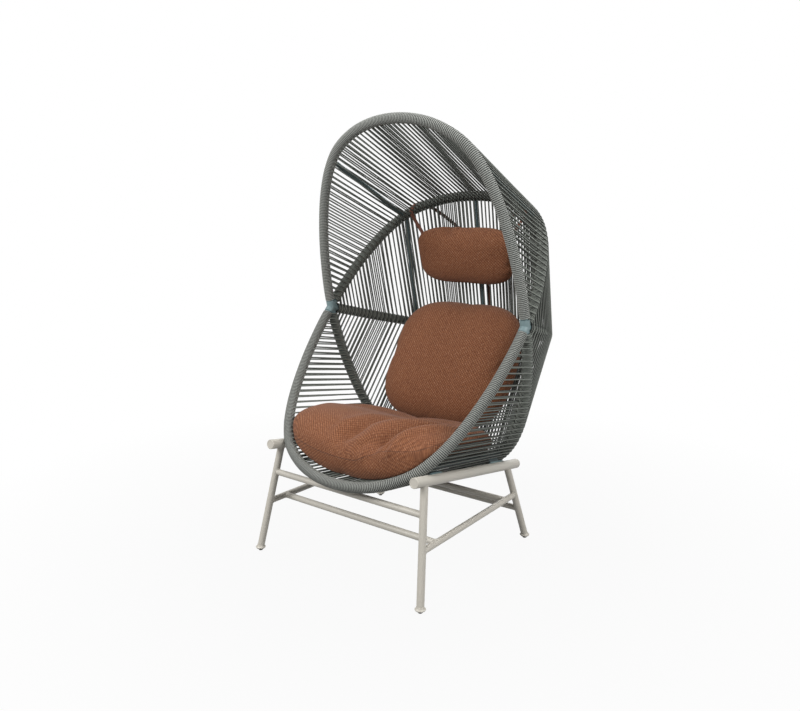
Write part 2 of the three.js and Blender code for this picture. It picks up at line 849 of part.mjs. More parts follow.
// Straps: a flat band along stops that each have a centre and an outer face
function bandAlong(stops) {
  return loft(stops.map(({ centre, outer }, index) => {
    const before = stops[Math.max(index - 1, 0)].centre;
    const after = stops[Math.min(index + 1, stops.length - 1)].centre;
    const across = after.clone().sub(before).cross(outer).normalize();
    const corner = (side, face) => centre.clone()
      .addScaledVector(across, (side * strapWidth) / 2)
      .addScaledVector(outer, (face * strapThickness) / 2);
    return [corner(-1, -1), corner(-1, 1), corner(1, 1), corner(1, -1)];
  }));
}

// A point on the outside of the upper back: a share along the ribs, and a share down from the hood rib
function outsideUpperBack(share, downShare) {
  const frame = frameAt(hoodRib, middleRib, share);
  const centre = pointOn(hoodRib, share).lerp(pointOn(middleRib, share), downShare);
  return { centre: centre.addScaledVector(frame.outward, layerDepth + strapThickness), outer: frame.outward };
}

function strap(pillowX, tail) {
  const pillow = cushionPlace(headPillow, pillowHoops);
  const pillowEnd = pillow.middle.addScaledVector(pillow.up, strapPillowHeight);
  pillowEnd.x = pillowX - strapPillowX;
  const stops = [{ centre: pillowEnd, outer: frameAt(hoodRib, middleRib, laneShare).outward.negate() }];
  const overRib = layerDepth + strapThickness;
  for (let step = 0; step <= strapArcSteps; step += 1) {
    const travel = step / strapArcSteps;
    const frame = frameAt(hoodRib, middleRib, laneShare + strapTurnShare * travel);
    const outer = frame.outward.multiplyScalar(-Math.cos(Math.PI * travel))
      .addScaledVector(frame.toOther, -Math.sin(Math.PI * travel));
    stops.push({ centre: frame.point.addScaledVector(outer, overRib), outer });
  }
  const leaveShare = laneShare + strapTurnShare;
  const tailShare = middleShare - shareOf(hoodRib, tail.aside);
  for (let step = 1; step <= strapSlantSteps; step += 1) {
    const travel = step / strapSlantSteps;
    const share = THREE.MathUtils.lerp(leaveShare, tailShare, travel);
    stops.push(outsideUpperBack(share, strapMeetShare * travel));
  }
  stops.push(outsideUpperBack(tailShare, tail.downShare));
  return bandAlong(stops);
}

const leftStrap = cutBy(strap(headPillow.x, leftTail), [pillowRoom]);
const rightStrap = cutBy(mirrored(strap(-headPillow.x, rightTail)), [pillowRoom]);
addPiece(softGroup, 'pillow_strap_left', leftStrap, strapCloth);
addPiece(softGroup, 'pillow_strap_right', rightStrap, strapCloth);

// The origin: under the middle of the whole chair
chair.updateMatrixWorld(true);
const box = new THREE.Box3().setFromObject(chair, true);
for (const group of [frameGroup, cordGroup, baseGroup, softGroup]) {
  group.position.y = -(box.min.y + box.max.y) / 2;
}

export default chair;
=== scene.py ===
import math

import bpy
import numpy as np
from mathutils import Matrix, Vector
from mathutils.bvhtree import BVHTree


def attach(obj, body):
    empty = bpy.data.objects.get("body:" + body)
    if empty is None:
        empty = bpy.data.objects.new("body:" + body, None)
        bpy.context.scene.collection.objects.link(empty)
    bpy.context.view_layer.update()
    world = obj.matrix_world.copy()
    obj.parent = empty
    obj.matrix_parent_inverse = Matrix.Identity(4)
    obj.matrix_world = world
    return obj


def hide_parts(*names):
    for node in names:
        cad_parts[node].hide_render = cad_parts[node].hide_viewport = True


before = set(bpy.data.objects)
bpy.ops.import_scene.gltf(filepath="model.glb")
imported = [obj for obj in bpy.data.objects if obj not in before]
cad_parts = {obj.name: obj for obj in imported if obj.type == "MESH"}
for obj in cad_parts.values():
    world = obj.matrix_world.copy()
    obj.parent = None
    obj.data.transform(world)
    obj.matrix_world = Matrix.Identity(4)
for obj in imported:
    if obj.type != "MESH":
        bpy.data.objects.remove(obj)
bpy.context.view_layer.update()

# Camera and studio
camera_place = (1.6052, -2.1904, 1.2193)
camera_down = 11.07
camera_round = 37.62
camera_lens = 34.04
light_aim = (0, 0, 0.8)
world_light = 0.33
floor_half = 30
floor_shade = (0.16, 0.16, 0.16, 1)

# Sizes in metres, in the frame that the model is packed in; the mouth of the pod faces -Y
frame_shift = 0.02049
fit_gap = 0.0003

# Hoops, each in a plane through the line between the two corner fittings
corner_half_width = 0.4315
corner_y = -0.014 + frame_shift
corner_height = 0.834
hoop_radius = 0.0125
hoop_outline_shares = (
    (0, 1), (0.09, 1), (0.2, 0.987), (0.34, 0.959), (0.5, 0.906), (0.64, 0.838),
    (0.77, 0.74), (0.87, 0.613), (0.945, 0.425), (0.985, 0.232), (1, 0),
)
arm_radius = 0.017
arm_length = 0.026
stub_length = 0.032
fitting_edge = 0.0015
rim_start = 0.010 + fit_gap
rib_start = stub_length + fit_gap
hoop_steps = 150
tube_sides = 24
strut_radius = 0.009
hood_strut_x = 0.297
upright_x = 0.291
lane_share = 11 / 34

# Cord
cord_radius = 0.0028
cord_sides = 8
winding_radius = hoop_radius + fit_gap + cord_radius
layer_depth = winding_radius + cord_radius
whipping_pitch = 0.0062
whipping_steps = 12
half_turn_steps = 8
loop_lift = 0.0026
first_loop_share = 0.0215
side_loop_pitch = 0.0133
side_loop_count = 19
middle_loop_count = 44
wide_pitch_share = 0.012

# Base
rail_radius = 0.017
saddle_half_width = 0.013
saddle_side_shares = ((1, 0), (0.97, 0.35), (0.8, 0.7), (0.45, 0.94), (0.15, 1))
saddle_station_shares = (
    (0, 0), (0.04, 0.5), (0.12, 0.85), (0.25, 1), (0.75, 1), (0.88, 0.85), (0.96, 0.5), (1, 0),
)
post_station_shares = ((0.2, 0.7), (0.24, 1), (0.76, 1), (0.8, 0.7))
post_half_thickness = 0.0045
post_sink = 0.004
front_saddle_y = (-0.380 + frame_shift, -0.315 + frame_shift)
rear_saddle_y = (-0.021 + frame_shift, 0.077 + frame_shift)
rail_front = Vector((-0.3145, -0.4684 + frame_shift, 0.4013))
rail_rear = Vector((-0.3145, 0.1711 + frame_shift, 0.2893))
leg_radius = 0.0125
front_leg = {"foot": (-0.3593, -0.4933 + frame_shift), "top_y": -0.4125 + frame_shift}
back_leg = {"foot": (-0.3505, 0.1912 + frame_shift), "top_y": 0.0965 + frame_shift}
stretcher_radius = 0.011
front_stretcher_height = 0.2895
side_stretcher_height = 0.182
back_stretcher_height = 0.1247
front_cross_share = 0.132
rear_cross_share = 0.883
collar_rim_height = 0.0125
collar_shoulder_height = 0.0165
collar_profile = (
    (0.0085, 0.0055), (0.0125, 0.0068), (0.0158, 0.0092), (0.0176, 0.0118), (0.0178, 0.0129),
    (0.0172, 0.0140), (0.0152, 0.0153), (0.0135, 0.0178), (0.0126, 0.0212),
)
glide_profile = (
    (0.0050, 0), (0.0062, 0.0003), (0.0074, 0.0012), (0.0080, 0.0026), (0.0080, 0.0050),
    (0.0040, 0.0052), (0.0040, 0.0230),
)
weld_bead = 0.0016
weld_reach = 0.004
weld_sink = 0.001
bead_sides = 8

# Cushions, by their own width, height and thickness
net_step = 0.009
loose_steps = 3
filling_frames = 20
shell_clearance = 0.0015
cushion_gap = 0.001
cushion_reach = 0.12
cloth_settings = {
    "quality": 6, "mass": 0.25, "tension_stiffness": 30, "compression_stiffness": 30, "shear_stiffness": 8,
    "bending_stiffness": 0.6, "use_pressure": True, "uniform_pressure_force": 2.0, "shrink_min": 0.0,
    "shrink_max": -0.05,
}
plain_cushion = {"draw_share": 0, "taper": 0, "back_roundness": 2, "cap": 0.012, "seam_offsets": ((-0.3, 0), (0.3, 0))}
seat_cushion = {
    "width": 0.722, "height": 0.542, "front": 0.091, "back": 0.098, "place": (-0.003, -0.1825, 0.3903),
    "lean": 97.74, "bow": 0.048, "corner_power": 3.0, "fullness": 3.6, "back_roundness": 3.6,
    "seam_offsets": ((-0.35, -0.018), (0.06, -0.014), (0.16, 0.038), (0.35, 0.036)),
    "creases": (
        (((0.118, -0.250, 0.024), (0.135, -0.213, 0.066), (0.142, -0.180, 0.086), (0.165, -0.125, 0.104),
          (0.200, -0.060, 0.111), (0.235, 0.020, 0.108)), 0.034, 0.028),
        (((-0.014, -0.247, 0.032), (-0.008, -0.215, 0.060), (0.003, -0.180, 0.079), (0.020, -0.120, 0.098),
          (0.050, -0.040, 0.107)), 0.022, 0.030),
        (((-0.310, 0.020, 0.104), (-0.200, 0.090, 0.103), (-0.060, 0.110, 0.100), (0.120, 0.080, 0.100),
          (0.270, 0.090, 0.110)), 0.018, 0.090),
        (((0.062, -0.252, 0.022), (0.086, -0.236, 0.048), (0.110, -0.222, 0.062)), 0.008, 0.014),
        (((0.160, -0.243, 0.028), (0.168, -0.236, 0.046), (0.174, -0.226, 0.060)), 0.010, 0.011),
    ),
}
back_cushion = {
    "width": 0.548, "height": 0.515, "front": 0.106, "back": 0.135, "place": (-0.008, 0.2279, 0.6193),
    "lean": 32.23, "bow": 0.022, "corner_power": 3.3, "fullness": 2.8,
    "creases": (
        (((0.262, 0.150, 0.006), (0.240, 0.130, 0.040), (0.215, 0.110, 0.062)), 0.005, 0.012),
    ),
}
head_pillow = {
    "width": 0.445, "height": 0.232, "front": 0.062, "back": 0.048, "place": (-0.008, 0.3126, 1.0358),
    "lean": -9.95, "bow": 0.014, "draw_share": 0.05, "corner_power": 3.2, "fullness": 2.6, "taper": 0.05,
    "cap": 0.010,
    "creases": (
        (((-0.064, 0.117, 0.002), (-0.059, 0.104, 0.028), (-0.047, 0.084, 0.045)), 0.014, 0.016),
        (((0.214, -0.030, 0.006), (0.204, -0.027, 0.030), (0.186, -0.030, 0.043)), 0.007, 0.009),
    ),
}

# Pillow straps
strap_width = 0.014
strap_thickness = 0.002
strap_outline_shares = (
    (-1, 0), (-0.95, 0.7), (-0.8, 1), (0, 0.8), (0.8, 1), (0.95, 0.7),
    (1, 0), (0.95, -0.7), (0.8, -1), (0, -0.8), (-0.8, -1), (-0.95, -0.7),
)
strap_pillow_x = 0.200
strap_pillow_height = 0.076
strap_turn_share = 0.038
strap_meet_share = 0.39
left_tail = {"aside": 0.010, "down_share": 0.45}
right_tail = {"aside": 0.022, "down_share": 0.85}


# Hoops
def rounded_line(points, steps=24):
    """A smooth line through the points, with knots spaced by the root of their distance."""
    points = np.array([2 * points[0] - points[1], *points, 2 * points[-1] - points[-2]])
    line = []
    for index in range(1, len(points) - 2):
        before, start, end, after = points[index - 1:index + 3]
        gaps = [np.linalg.norm(b - a) ** 0.5 for a, b in ((before, start), (start, end), (end, after))]
        leave = (start - before) / gaps[0] - (end - before) / (gaps[0] + gaps[1]) + (end - start) / gaps[1]
        arrive = (end - start) / gaps[1] - (after - start) / (gaps[1] + gaps[2]) + (after - end) / gaps[2]
        leave, arrive = leave * gaps[1], arrive * gaps[1]
        for t in np.arange(steps) / steps:
            line.append(
                start * (2 * t ** 3 - 3 * t ** 2 + 1) + leave * (t ** 3 - 2 * t ** 2 + t)
                + end * (3 * t ** 2 - 2 * t ** 3) + arrive * (t ** 3 - t ** 2)
            )
    line.append(points[-2])
    return np.array(line)


class Hoop:
    """A bent tube from one corner fitting to the other, met by its share of the length."""

    def __init__(self, angle, reach):
        turn = math.radians(angle)
        self.direction = np.array([0, -math.cos(turn), math.sin(turn)])
        left = [self.outline_point(share, -1, reach) for share in hoop_outline_shares]
        right = [self.outline_point(share, 1, reach) for share in hoop_outline_shares[-2::-1]]
        self.line = rounded_line(left + right)
        steps = np.linalg.norm(np.diff(self.line, axis=0), axis=1)
        self.travel = np.concatenate([[0], np.cumsum(steps)])
        self.length = self.travel[-1]

    def outline_point(self, shares, side, reach):
        start = np.array([side * shares[1] * corner_half_width, corner_y, corner_height])
        return start + self.direction * shares[0] * reach

    def at(self, shares):
        travel = np.asarray(shares, float) * self.length
        return np.stack([np.interp(travel, self.travel, self.line[:, axis]) for axis in range(3)], -1)

    def tangent(self, shares):
        shares = np.asarray(shares, float)
        step = 0.002
        along = self.at(np.minimum(shares + step, 1)) - self.at(np.maximum(shares - step, 0))
        return unit(along)

    def share_at_x(self, x):
        shares = np.linspace(0, 0.5, 2000)
        return float(np.interp(x, self.at(shares)[:, 0], shares))


def unit(vectors):
    vectors = np.asarray(vectors, float)
    return vectors / np.maximum(np.linalg.norm(vectors, axis=-1, keepdims=True), 1e-12)


upper_rim = Hoop(77, 0.692)
hood_rib = Hoop(130.4, 0.565)
middle_rib = Hoop(194, 0.476)
seat_rib = Hoop(254.5, 0.611)
lower_rim = Hoop(312.7, 0.685)


def hoop_frames(hoop, other, shares):
    """Point, tangent, the way to the other hoop and the way out of the shell, at each share."""
    point = hoop.at(shares)
    tangent = hoop.tangent(shares)
    to_other = other.at(shares) - point
    to_other = unit(to_other - tangent * np.sum(to_other * tangent, -1, keepdims=True))
    return point, tangent, to_other, np.cross(tangent, to_other)


# Meshes: a shape is points, faces and the place of each face corner on the surface
def skin(travel, around, capped=True):
    """Faces and places over rings of points, by the travel to each ring and the way round its corners."""
    sides = len(around) - 1
    ring, corner = np.meshgrid(np.arange(len(travel) - 1), np.arange(sides), indexing="ij")
    low, high, following = ring * sides, (ring + 1) * sides, (corner + 1) % sides
    faces = np.stack([low + corner, low + following, high + following, high + corner], -1).reshape(-1, 4).tolist()
    across = np.stack([around[corner], around[corner + 1], around[corner + 1], around[corner]], -1)
    along = np.stack([travel[ring], travel[ring], travel[ring + 1], travel[ring + 1]], -1)
    places = np.stack([across, along], -1).reshape(-1, 2).tolist()
    if capped:
        last = (len(travel) - 1) * sides
        faces += [list(range(sides))[::-1], list(range(last, last + sides))]
        places += [(x, travel[0]) for x in around[:-1][::-1]] + [(x, travel[-1]) for x in around[:-1]]
    return faces, places


def tube(centres, across, radius, sides, capped=True):
    """A tube round a line of centres; across is the way that its first side faces."""
    centres = np.asarray(centres, float)
    across = np.broadcast_to(np.asarray(across, float), centres.shape)
    direction = unit(np.gradient(centres, axis=0))
    side = unit(across - direction * np.sum(across * direction, -1, keepdims=True))
    up = np.cross(direction, side)
    angles = 2 * np.pi * np.arange(sides)[:, None] / sides
    rings = centres[:, None] + radius * (side[:, None] * np.cos(angles) + up[:, None] * np.sin(angles))
    travel = np.concatenate([[0], np.cumsum(np.linalg.norm(np.diff(centres, axis=0), axis=1))])
    return rings.reshape(-1, 3), *skin(travel / (2 * np.pi * radius), np.arange(sides + 1) / sides, capped)


def turned(profile, start, end, sides=32):
    """A shape of revolution; the profile gives radius and distance from start towards end."""
    start, end = Vector(start), Vector(end)
    axis = (end - start).normalized()
    side = axis.orthogonal().normalized()
    up = axis.cross(side)
    points = [
        start + axis * travel + (side * math.cos(angle) + up * math.sin(angle)) * radius
        for radius, travel in profile for angle in 2 * np.pi * np.arange(sides) / sides
    ]
    return np.array(points), *skin(np.array(profile)[:, 1], np.arange(sides + 1) / sides)


def lofted(rings):
    """A closed skin over rings of points that all have the same number of corners."""
    travel = np.linalg.norm(np.diff(rings.mean(1), axis=0), axis=1)
    around = np.linalg.norm(np.diff(rings[:, [*range(rings.shape[1]), 0]], axis=1), axis=2).mean(0)
    travel, around = (np.concatenate([[0], np.cumsum(steps)]) for steps in (travel, around))
    return rings.reshape(-1, 3), *skin(travel, around)


def joined(*shapes):
    points, faces, places = [], [], []
    for shape in shapes:
        start = sum(len(part) for part in points)
        points.append(shape[0])
        faces += [[corner + start for corner in face] for face in shape[1]]
        places += shape[2]
    return np.concatenate(points), faces, places


def mirrored(shape):
    points = shape[0] * np.array([-1, 1, 1])
    faces = [face[::-1] for face in shape[1]]
    places, taken = [], 0
    for face in shape[1]:
        places += shape[2][taken:taken + len(face)][::-1]
        taken += len(face)
    return points, faces, places


def piece(name, shape, finish, replaced=(), body="chair", crease_angle=38):
    """Puts a shape into the scene; a finish is a material and the slot that it stands for, and the slot is not used
    here.
    """
    material, slot = finish
    mesh = bpy.data.meshes.new(name)
    mesh.from_pydata(np.asarray(shape[0]).tolist(), [], shape[1])
    layer = mesh.uv_layers.new(name="surface")
    layer.data.foreach_set("uv", np.asarray(shape[2], dtype=np.float32).reshape(-1))
    mesh.polygons.foreach_set("use_smooth", [True] * len(mesh.polygons))
    mesh.set_sharp_from_angle(angle=math.radians(crease_angle))
    mesh.materials.append(material)
    made = bpy.data.objects.new(name, mesh)
    bpy.context.scene.collection.objects.link(made)
    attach(made, body)
    if replaced:
        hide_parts(*replaced)
    return made


def both_sides(name, shape, finish, node=None):
    """A left piece, and its mirror image on the right."""
    for side, side_shape in (("left", shape), ("right", mirrored(shape))):
        piece(f"{name}_{side}", side_shape, finish, [f"{node}_{side}"] if node else ())


# Materials
class Nodes:
    """Places nodes in one tree and joins them by plain names."""

    def __init__(self, tree):
        self.tree = tree
        self.column = 0

    def add(self, kind, settings=None, **inputs):
        node = self.tree.nodes.new(kind)
        node.location = (self.column * 180, 0)
        self.column += 1
        for key, value in (settings or {}).items():
            setattr(node, key, value)
        for key, value in inputs.items():
            self.feed(node.inputs[int(key[1:])] if key[1:].isdigit() else node.inputs[key.replace("_", " ")], value)
        return node

    def feed(self, socket, value):
        if isinstance(value, bpy.types.NodeSocket):
            self.tree.links.new(value, socket)
        else:
            socket.default_value = value

    def math(self, operation, first, second=0.0, third=0.0):
        return self.add("ShaderNodeMath", {"operation": operation}, i0=first, i1=second, i2=third).outputs[0]

    def wave(self, travel, turn):
        """A sine wave between 0 and 1."""
        return self.math("MULTIPLY_ADD", self.math("SINE", self.math("MULTIPLY", travel, turn)), 0.5, 0.5)

    def mix(self, share, first, second):
        node = self.add("ShaderNodeMix", {"data_type": "RGBA"}, i0=share, i6=first, i7=second)
        return node.outputs[2]

    def tint(self, shade, mask, strength, code):
        """A colour laid over a shade where the mask is."""
        return self.mix(self.math("MULTIPLY", mask, strength), shade, colour(code))

    def noise(self, place, scale, detail):
        return self.add("ShaderNodeTexNoise", Vector=place, Scale=scale, Detail=detail).outputs["Fac"]

    def ramp(self, value, **ends):
        return self.add("ShaderNodeMapRange", Value=value, **ends).outputs[0]

    def object_place(self):
        return self.add("ShaderNodeTexCoord").outputs["Object"]

    def surface_place(self, layer):
        """The two ways over a piece's surface, from one of its layers of places."""
        place = self.add("ShaderNodeUVMap", {"uv_map": layer}).outputs[0]
        return self.add("ShaderNodeSeparateXYZ", Vector=place).outputs

    def effect(self, tree, **values):
        return self.add("ShaderNodeGroup", {"node_tree": tree}, **values).outputs

    def give(self, **results):
        """Feeds what a group has made to its outputs."""
        for label, value in results.items():
            self.feed(self.out.inputs[label.replace("_", " ")], value)
        return self.tree


def empty_effect(name, inputs, outputs):
    """A node group with named number inputs and outputs, and nothing between them yet."""
    tree = bpy.data.node_groups.new(name, "ShaderNodeTree")
    for label, value in inputs.items():
        socket = tree.interface.new_socket(name=label, in_out="INPUT", socket_type="NodeSocketFloat")
        socket.default_value = value
    for label in outputs:
        tree.interface.new_socket(name=label, in_out="OUTPUT", socket_type="NodeSocketFloat")
    nodes = Nodes(tree)
    given = nodes.add("NodeGroupInput").outputs
    nodes.out = tree.nodes.new("NodeGroupOutput")
    nodes.out.location = (4000, 0)
    return nodes, given


def paint_grain():
    nodes, given = empty_effect("paint grain", {"Grain Scale": 900.0, "Cloud Scale": 9.0}, ["Height", "Cloud"])
    place = nodes.object_place()
    return nodes.give(
        Height=nodes.noise(place, given["Grain Scale"], 2.0), Cloud=nodes.noise(place, given["Cloud Scale"], 3.0),
    )


def cord_braid():
    """Round braided cord: strands that cross on two slants, from the cord's own surface places."""
    nodes, given = empty_effect(
        "cord braid", {"Strands": 4.0, "Turns": 1.6}, ["Height", "Strand", "Flank", "Wear"],
    )
    place = nodes.surface_place("surface")
    around = nodes.math("MULTIPLY", place[0], given["Strands"])
    along = nodes.math("MULTIPLY", place[1], given["Turns"])
    slants = [nodes.wave(nodes.math(operation, around, along), 2 * math.pi) for operation in ("ADD", "SUBTRACT")]
    # The cord's sides, which cord_finish darkens as painted shade
    groove_shade = nodes.math("COSINE", nodes.math("MULTIPLY", place[0], 2 * math.pi))
    return nodes.give(
        Height=nodes.math("MAXIMUM", *slants), Strand=nodes.math("MULTIPLY", *slants),
        Flank=nodes.math("ABSOLUTE", groove_shade), Wear=nodes.noise(nodes.object_place(), 14.0, 3.0),
    )


def twill_weave():
    """Fine twill cloth: slanting ribs with flecks of two other yarns along them."""
    nodes, given = empty_effect(
        "twill weave", {"Rib Width": 0.0022, "Fleck Size": 0.006},
        ["Height", "Rib", "Light Fleck", "Dark Fleck", "Cloud"],
    )
    place = nodes.surface_place("surface")
    slant, cross = nodes.math("ADD", place[0], place[1]), nodes.math("SUBTRACT", place[0], place[1])
    rib, knot = (nodes.wave(nodes.math("DIVIDE", way, given["Rib Width"]), math.pi) for way in (slant, cross))
    rib = nodes.math("MULTIPLY_ADD", knot, 0.4, nodes.math("MULTIPLY", rib, 0.6))
    flecks = []
    for seed, stretch in ((3.1, 3.0), (17.7, 2.2)):
        spot = nodes.add(
            "ShaderNodeCombineXYZ", X=nodes.math("DIVIDE", slant, given["Fleck Size"]),
            Y=nodes.math("DIVIDE", cross, nodes.math("MULTIPLY", given["Fleck Size"], stretch)), Z=seed,
        )
        flecks.append(nodes.ramp(nodes.noise(spot.outputs[0], 1.0, 2.0), From_Min=0.48, From_Max=0.66))
    return nodes.give(
        Height=rib, Rib=nodes.math("SUBTRACT", 1.0, rib), Light_Fleck=flecks[0], Dark_Fleck=flecks[1],
        Cloud=nodes.noise(nodes.object_place(), 11.0, 3.0),
    )


def seam_pull():
    """The stitched line of a seam, and the short puckers that it pulls in the cloth on both sides."""
    nodes, given = empty_effect("seam pull", {"Pucker Width": 0.012, "Pucker Reach": 0.03}, ["Line", "Pucker"])
    place = nodes.surface_place("seam")
    distance = nodes.math("ABSOLUTE", place[0])
    spot = nodes.add(
        "ShaderNodeCombineXYZ", X=nodes.math("DIVIDE", place[1], given["Pucker Width"]),
        Y=nodes.math("DIVIDE", distance, nodes.math("MULTIPLY", given["Pucker Width"], 4.0)),
    )
    folds = nodes.noise(spot.outputs[0], 1.0, 1.0)
    fade = nodes.math("SUBTRACT", 1.0, nodes.math("DIVIDE", distance, given["Pucker Reach"]))
    fade = nodes.math("MAXIMUM", fade, 0.0)
    return nodes.give(
        Line=nodes.ramp(distance, From_Min=0.0008, From_Max=0.0026, To_Min=1.0, To_Max=0.0),
        Pucker=nodes.math("MULTIPLY", folds, nodes.math("MULTIPLY", fade, fade)),
    )


grain_effect = paint_grain()
braid_effect = cord_braid()
twill_effect = twill_weave()
seam_effect = seam_pull()


def colour(code):
    """The linear colour of a six-figure colour code."""
    channels = [int(code[start:start + 2], 16) / 255 for start in (0, 2, 4)]
    return (*[c / 12.92 if c <= 0.04045 else ((c + 0.055) / 1.055) ** 2.4 for c in channels], 1)


def finish_of(name, roughness):
    material = bpy.data.materials.new(name)
    material.use_nodes = True
    shader = material.node_tree.nodes["Principled BSDF"]
    shader.inputs["Roughness"].default_value = roughness
    return material, Nodes(material.node_tree), shader


def bump(nodes, shader, height, strength, distance):
    raised = nodes.add("ShaderNodeBump", Strength=strength, Distance=distance, Height=height)
    nodes.feed(shader.inputs["Normal"], raised.outputs["Normal"])


def powder_coat(name, slot, light, dark, roughness=0.46):
    material, nodes, shader = finish_of(name, roughness)
    grain = nodes.effect(grain_effect, Grain_Scale=1400.0, Cloud_Scale=7.0)
    nodes.feed(shader.inputs["Base Color"], nodes.mix(grain["Cloud"], colour(dark), colour(light)))
    dull = nodes.ramp(grain["Cloud"], To_Min=roughness - 0.05, To_Max=roughness + 0.07)
    nodes.feed(shader.inputs["Roughness"], dull)
    bump(nodes, shader, grain["Height"], 0.25, 0.0002)
    return material, slot


def cord_finish(name, dark, light, groove_shade, groove_shade_start):
    """Braided cord; painted shade darkens its sides, which lie against the next turn."""
    material, nodes, shader = finish_of(name, 0.72)
    braid = nodes.effect(braid_effect, Strands=4.0, Turns=1.6)
    shade = nodes.mix(braid["Wear"], colour(dark), colour(light))
    shade = nodes.tint(shade, braid["Strand"], 0.4, "949690")
    # Painted shade on the sides of each turn, where the next turn would shade them
    shadow = nodes.ramp(braid["Flank"], From_Min=groove_shade_start, From_Max=1.0)
    nodes.feed(shader.inputs["Base Color"], nodes.mix(shadow, shade, colour(groove_shade)))
    shader.inputs["Sheen Weight"].default_value = 0.08
    bump(nodes, shader, braid["Height"], 0.5, 0.0006)
    return material, "cord"


def cushion_finish():
    """Twill in one warm brown, with lighter and darker flecks, and its seam."""
    material, nodes, shader = finish_of("flecked twill", 0.92)
    twill = nodes.effect(twill_effect, Rib_Width=0.0056, Fleck_Size=0.005)
    seam = nodes.effect(seam_effect, Pucker_Width=0.012, Pucker_Reach=0.03)
    shade = nodes.mix(twill["Cloud"], colour("855233"), colour("8f5c3a"))
    shade = nodes.tint(shade, twill["Light Fleck"], 0.7, "a27356")
    shade = nodes.tint(shade, twill["Dark Fleck"], 0.7, "5f2f12")
    shade = nodes.tint(shade, twill["Rib"], 0.85, "4a220a")
    nodes.feed(shader.inputs["Base Color"], nodes.tint(shade, seam["Line"], 0.45, "2c1710"))
    shader.inputs["Sheen Weight"].default_value = 0.04
    shader.inputs["Sheen Roughness"].default_value = 0.5
    weave = nodes.math("MULTIPLY", twill["Height"], 0.3)
    height = nodes.math("MULTIPLY_ADD", seam["Pucker"], 5.0, weave)
    height = nodes.math("SUBTRACT", height, nodes.math("MULTIPLY", seam["Line"], 1.2))
    bump(nodes, shader, height, 1.0, 0.001)
    return material, "cushion_cloth"


def strap_finish():
    material, nodes, shader = finish_of("strap tape", 0.85)
    twill = nodes.effect(twill_effect, Rib_Width=0.0013, Fleck_Size=0.003)
    nodes.feed(shader.inputs["Base Color"], nodes.mix(twill["Rib"], colour("5e3a2e"), colour("7d4f3e")))
    bump(nodes, shader, twill["Height"], 0.5, 0.0004)
    return material, "strap_cloth"


def glide_finish():
    material, nodes, shader = finish_of("glide plastic", 0.5)
    grain = nodes.effect(grain_effect, Grain_Scale=500.0, Cloud_Scale=40.0)
    nodes.feed(shader.inputs["Base Color"], nodes.mix(grain["Cloud"], colour("121212"), colour("222222")))
    bump(nodes, shader, grain["Height"], 0.2, 0.0002)
    return material, "glide_plastic"


base_paint = powder_coat("base powder coat", "base_paint", "beb9af", "b3afa5")
shell_paint = powder_coat("shell powder coat", "shell_paint", "73878a", "66797b")
# The shell paint darkened as painted shade, for the seat bearers and saddle posts that sit in shadow under the seat
shaded_bearer_paint = powder_coat("bearer powder coat", "shell_paint", "454f51", "3b4446")
# The strings are the same cord as the whipping, given a darker colour as painted shade
shaded_strung_cord = cord_finish("strung cord", "6c716a", "7a7f77", "121310", 0.22)
whipped_cord = cord_finish("whipped cord", "8a8c87", "999b96", "181a17", 0.36)
# The lower rim's whipping is the same cord, given a darker colour as painted shade
shaded_low_whipped_cord = cord_finish("low whipped cord", "7f817c", "8d8f8a", "121411", 0.34)
cushion_cloth = cushion_finish()
strap_cloth = strap_finish()
glide_plastic = glide_finish()


# Frame of the shell
def hoop_tube(hoop, start_length):
    start = start_length / hoop.length
    plane_normal = np.cross([1, 0, 0], hoop.direction)
    return tube(hoop.at(np.linspace(start, 1 - start, hoop_steps)), plane_normal, hoop_radius, tube_sides)


def fitting_end(tube_radius, length):
    """Profile of a stub or arm: straight, with a small rounded edge at its open end."""
    return [
        (tube_radius, 0), (tube_radius, length - fitting_edge),
        (tube_radius - fitting_edge * 0.3, length - fitting_edge * 0.3), (tube_radius - fitting_edge, length),
    ]


def corner_fitting():
    centre = Vector((-corner_half_width, corner_y, corner_height))
    turns = [math.pi * step / 12 - math.pi / 2 for step in range(13)]
    ball = [(arm_radius * math.cos(turn), arm_radius * math.sin(turn)) for turn in turns]
    shapes = [turned(ball, centre, centre + Vector((0, 0, 1)))]
    ends = [(rib, hoop_radius, stub_length) for rib in (hood_rib, middle_rib, seat_rib)]
    ends += [(rim, arm_radius, arm_length) for rim in (upper_rim, lower_rim)]
    for hoop, radius, length in ends:
        shapes.append(turned(fitting_end(radius, length), centre, centre + Vector(hoop.direction)))
    return joined(*shapes)


def strut(hoop_a, share_a, hoop_b, share_b):
    """A tube from hoop to hoop, with a weld bead at both ends."""
    start, end = hoop_a.at(share_a), hoop_b.at(share_b)
    direction = unit(end - start)
    shapes = [tube(np.array([start, end]), [1, 0, 0], strut_radius, tube_sides)]
    bead = [(strut_radius, 0), (strut_radius + weld_bead, 0), (strut_radius, weld_reach)]
    for point, towards in ((start, direction), (end, -direction)):
        point, towards = Vector(point), Vector(towards)
        shapes.append(turned(bead, point + towards * (hoop_radius - weld_sink), point + towards))
    return joined(*shapes)


def strut_at(x, hoop_a, hoop_b):
    return strut(hoop_a, hoop_a.share_at_x(-x), hoop_b, hoop_b.share_at_x(-x))


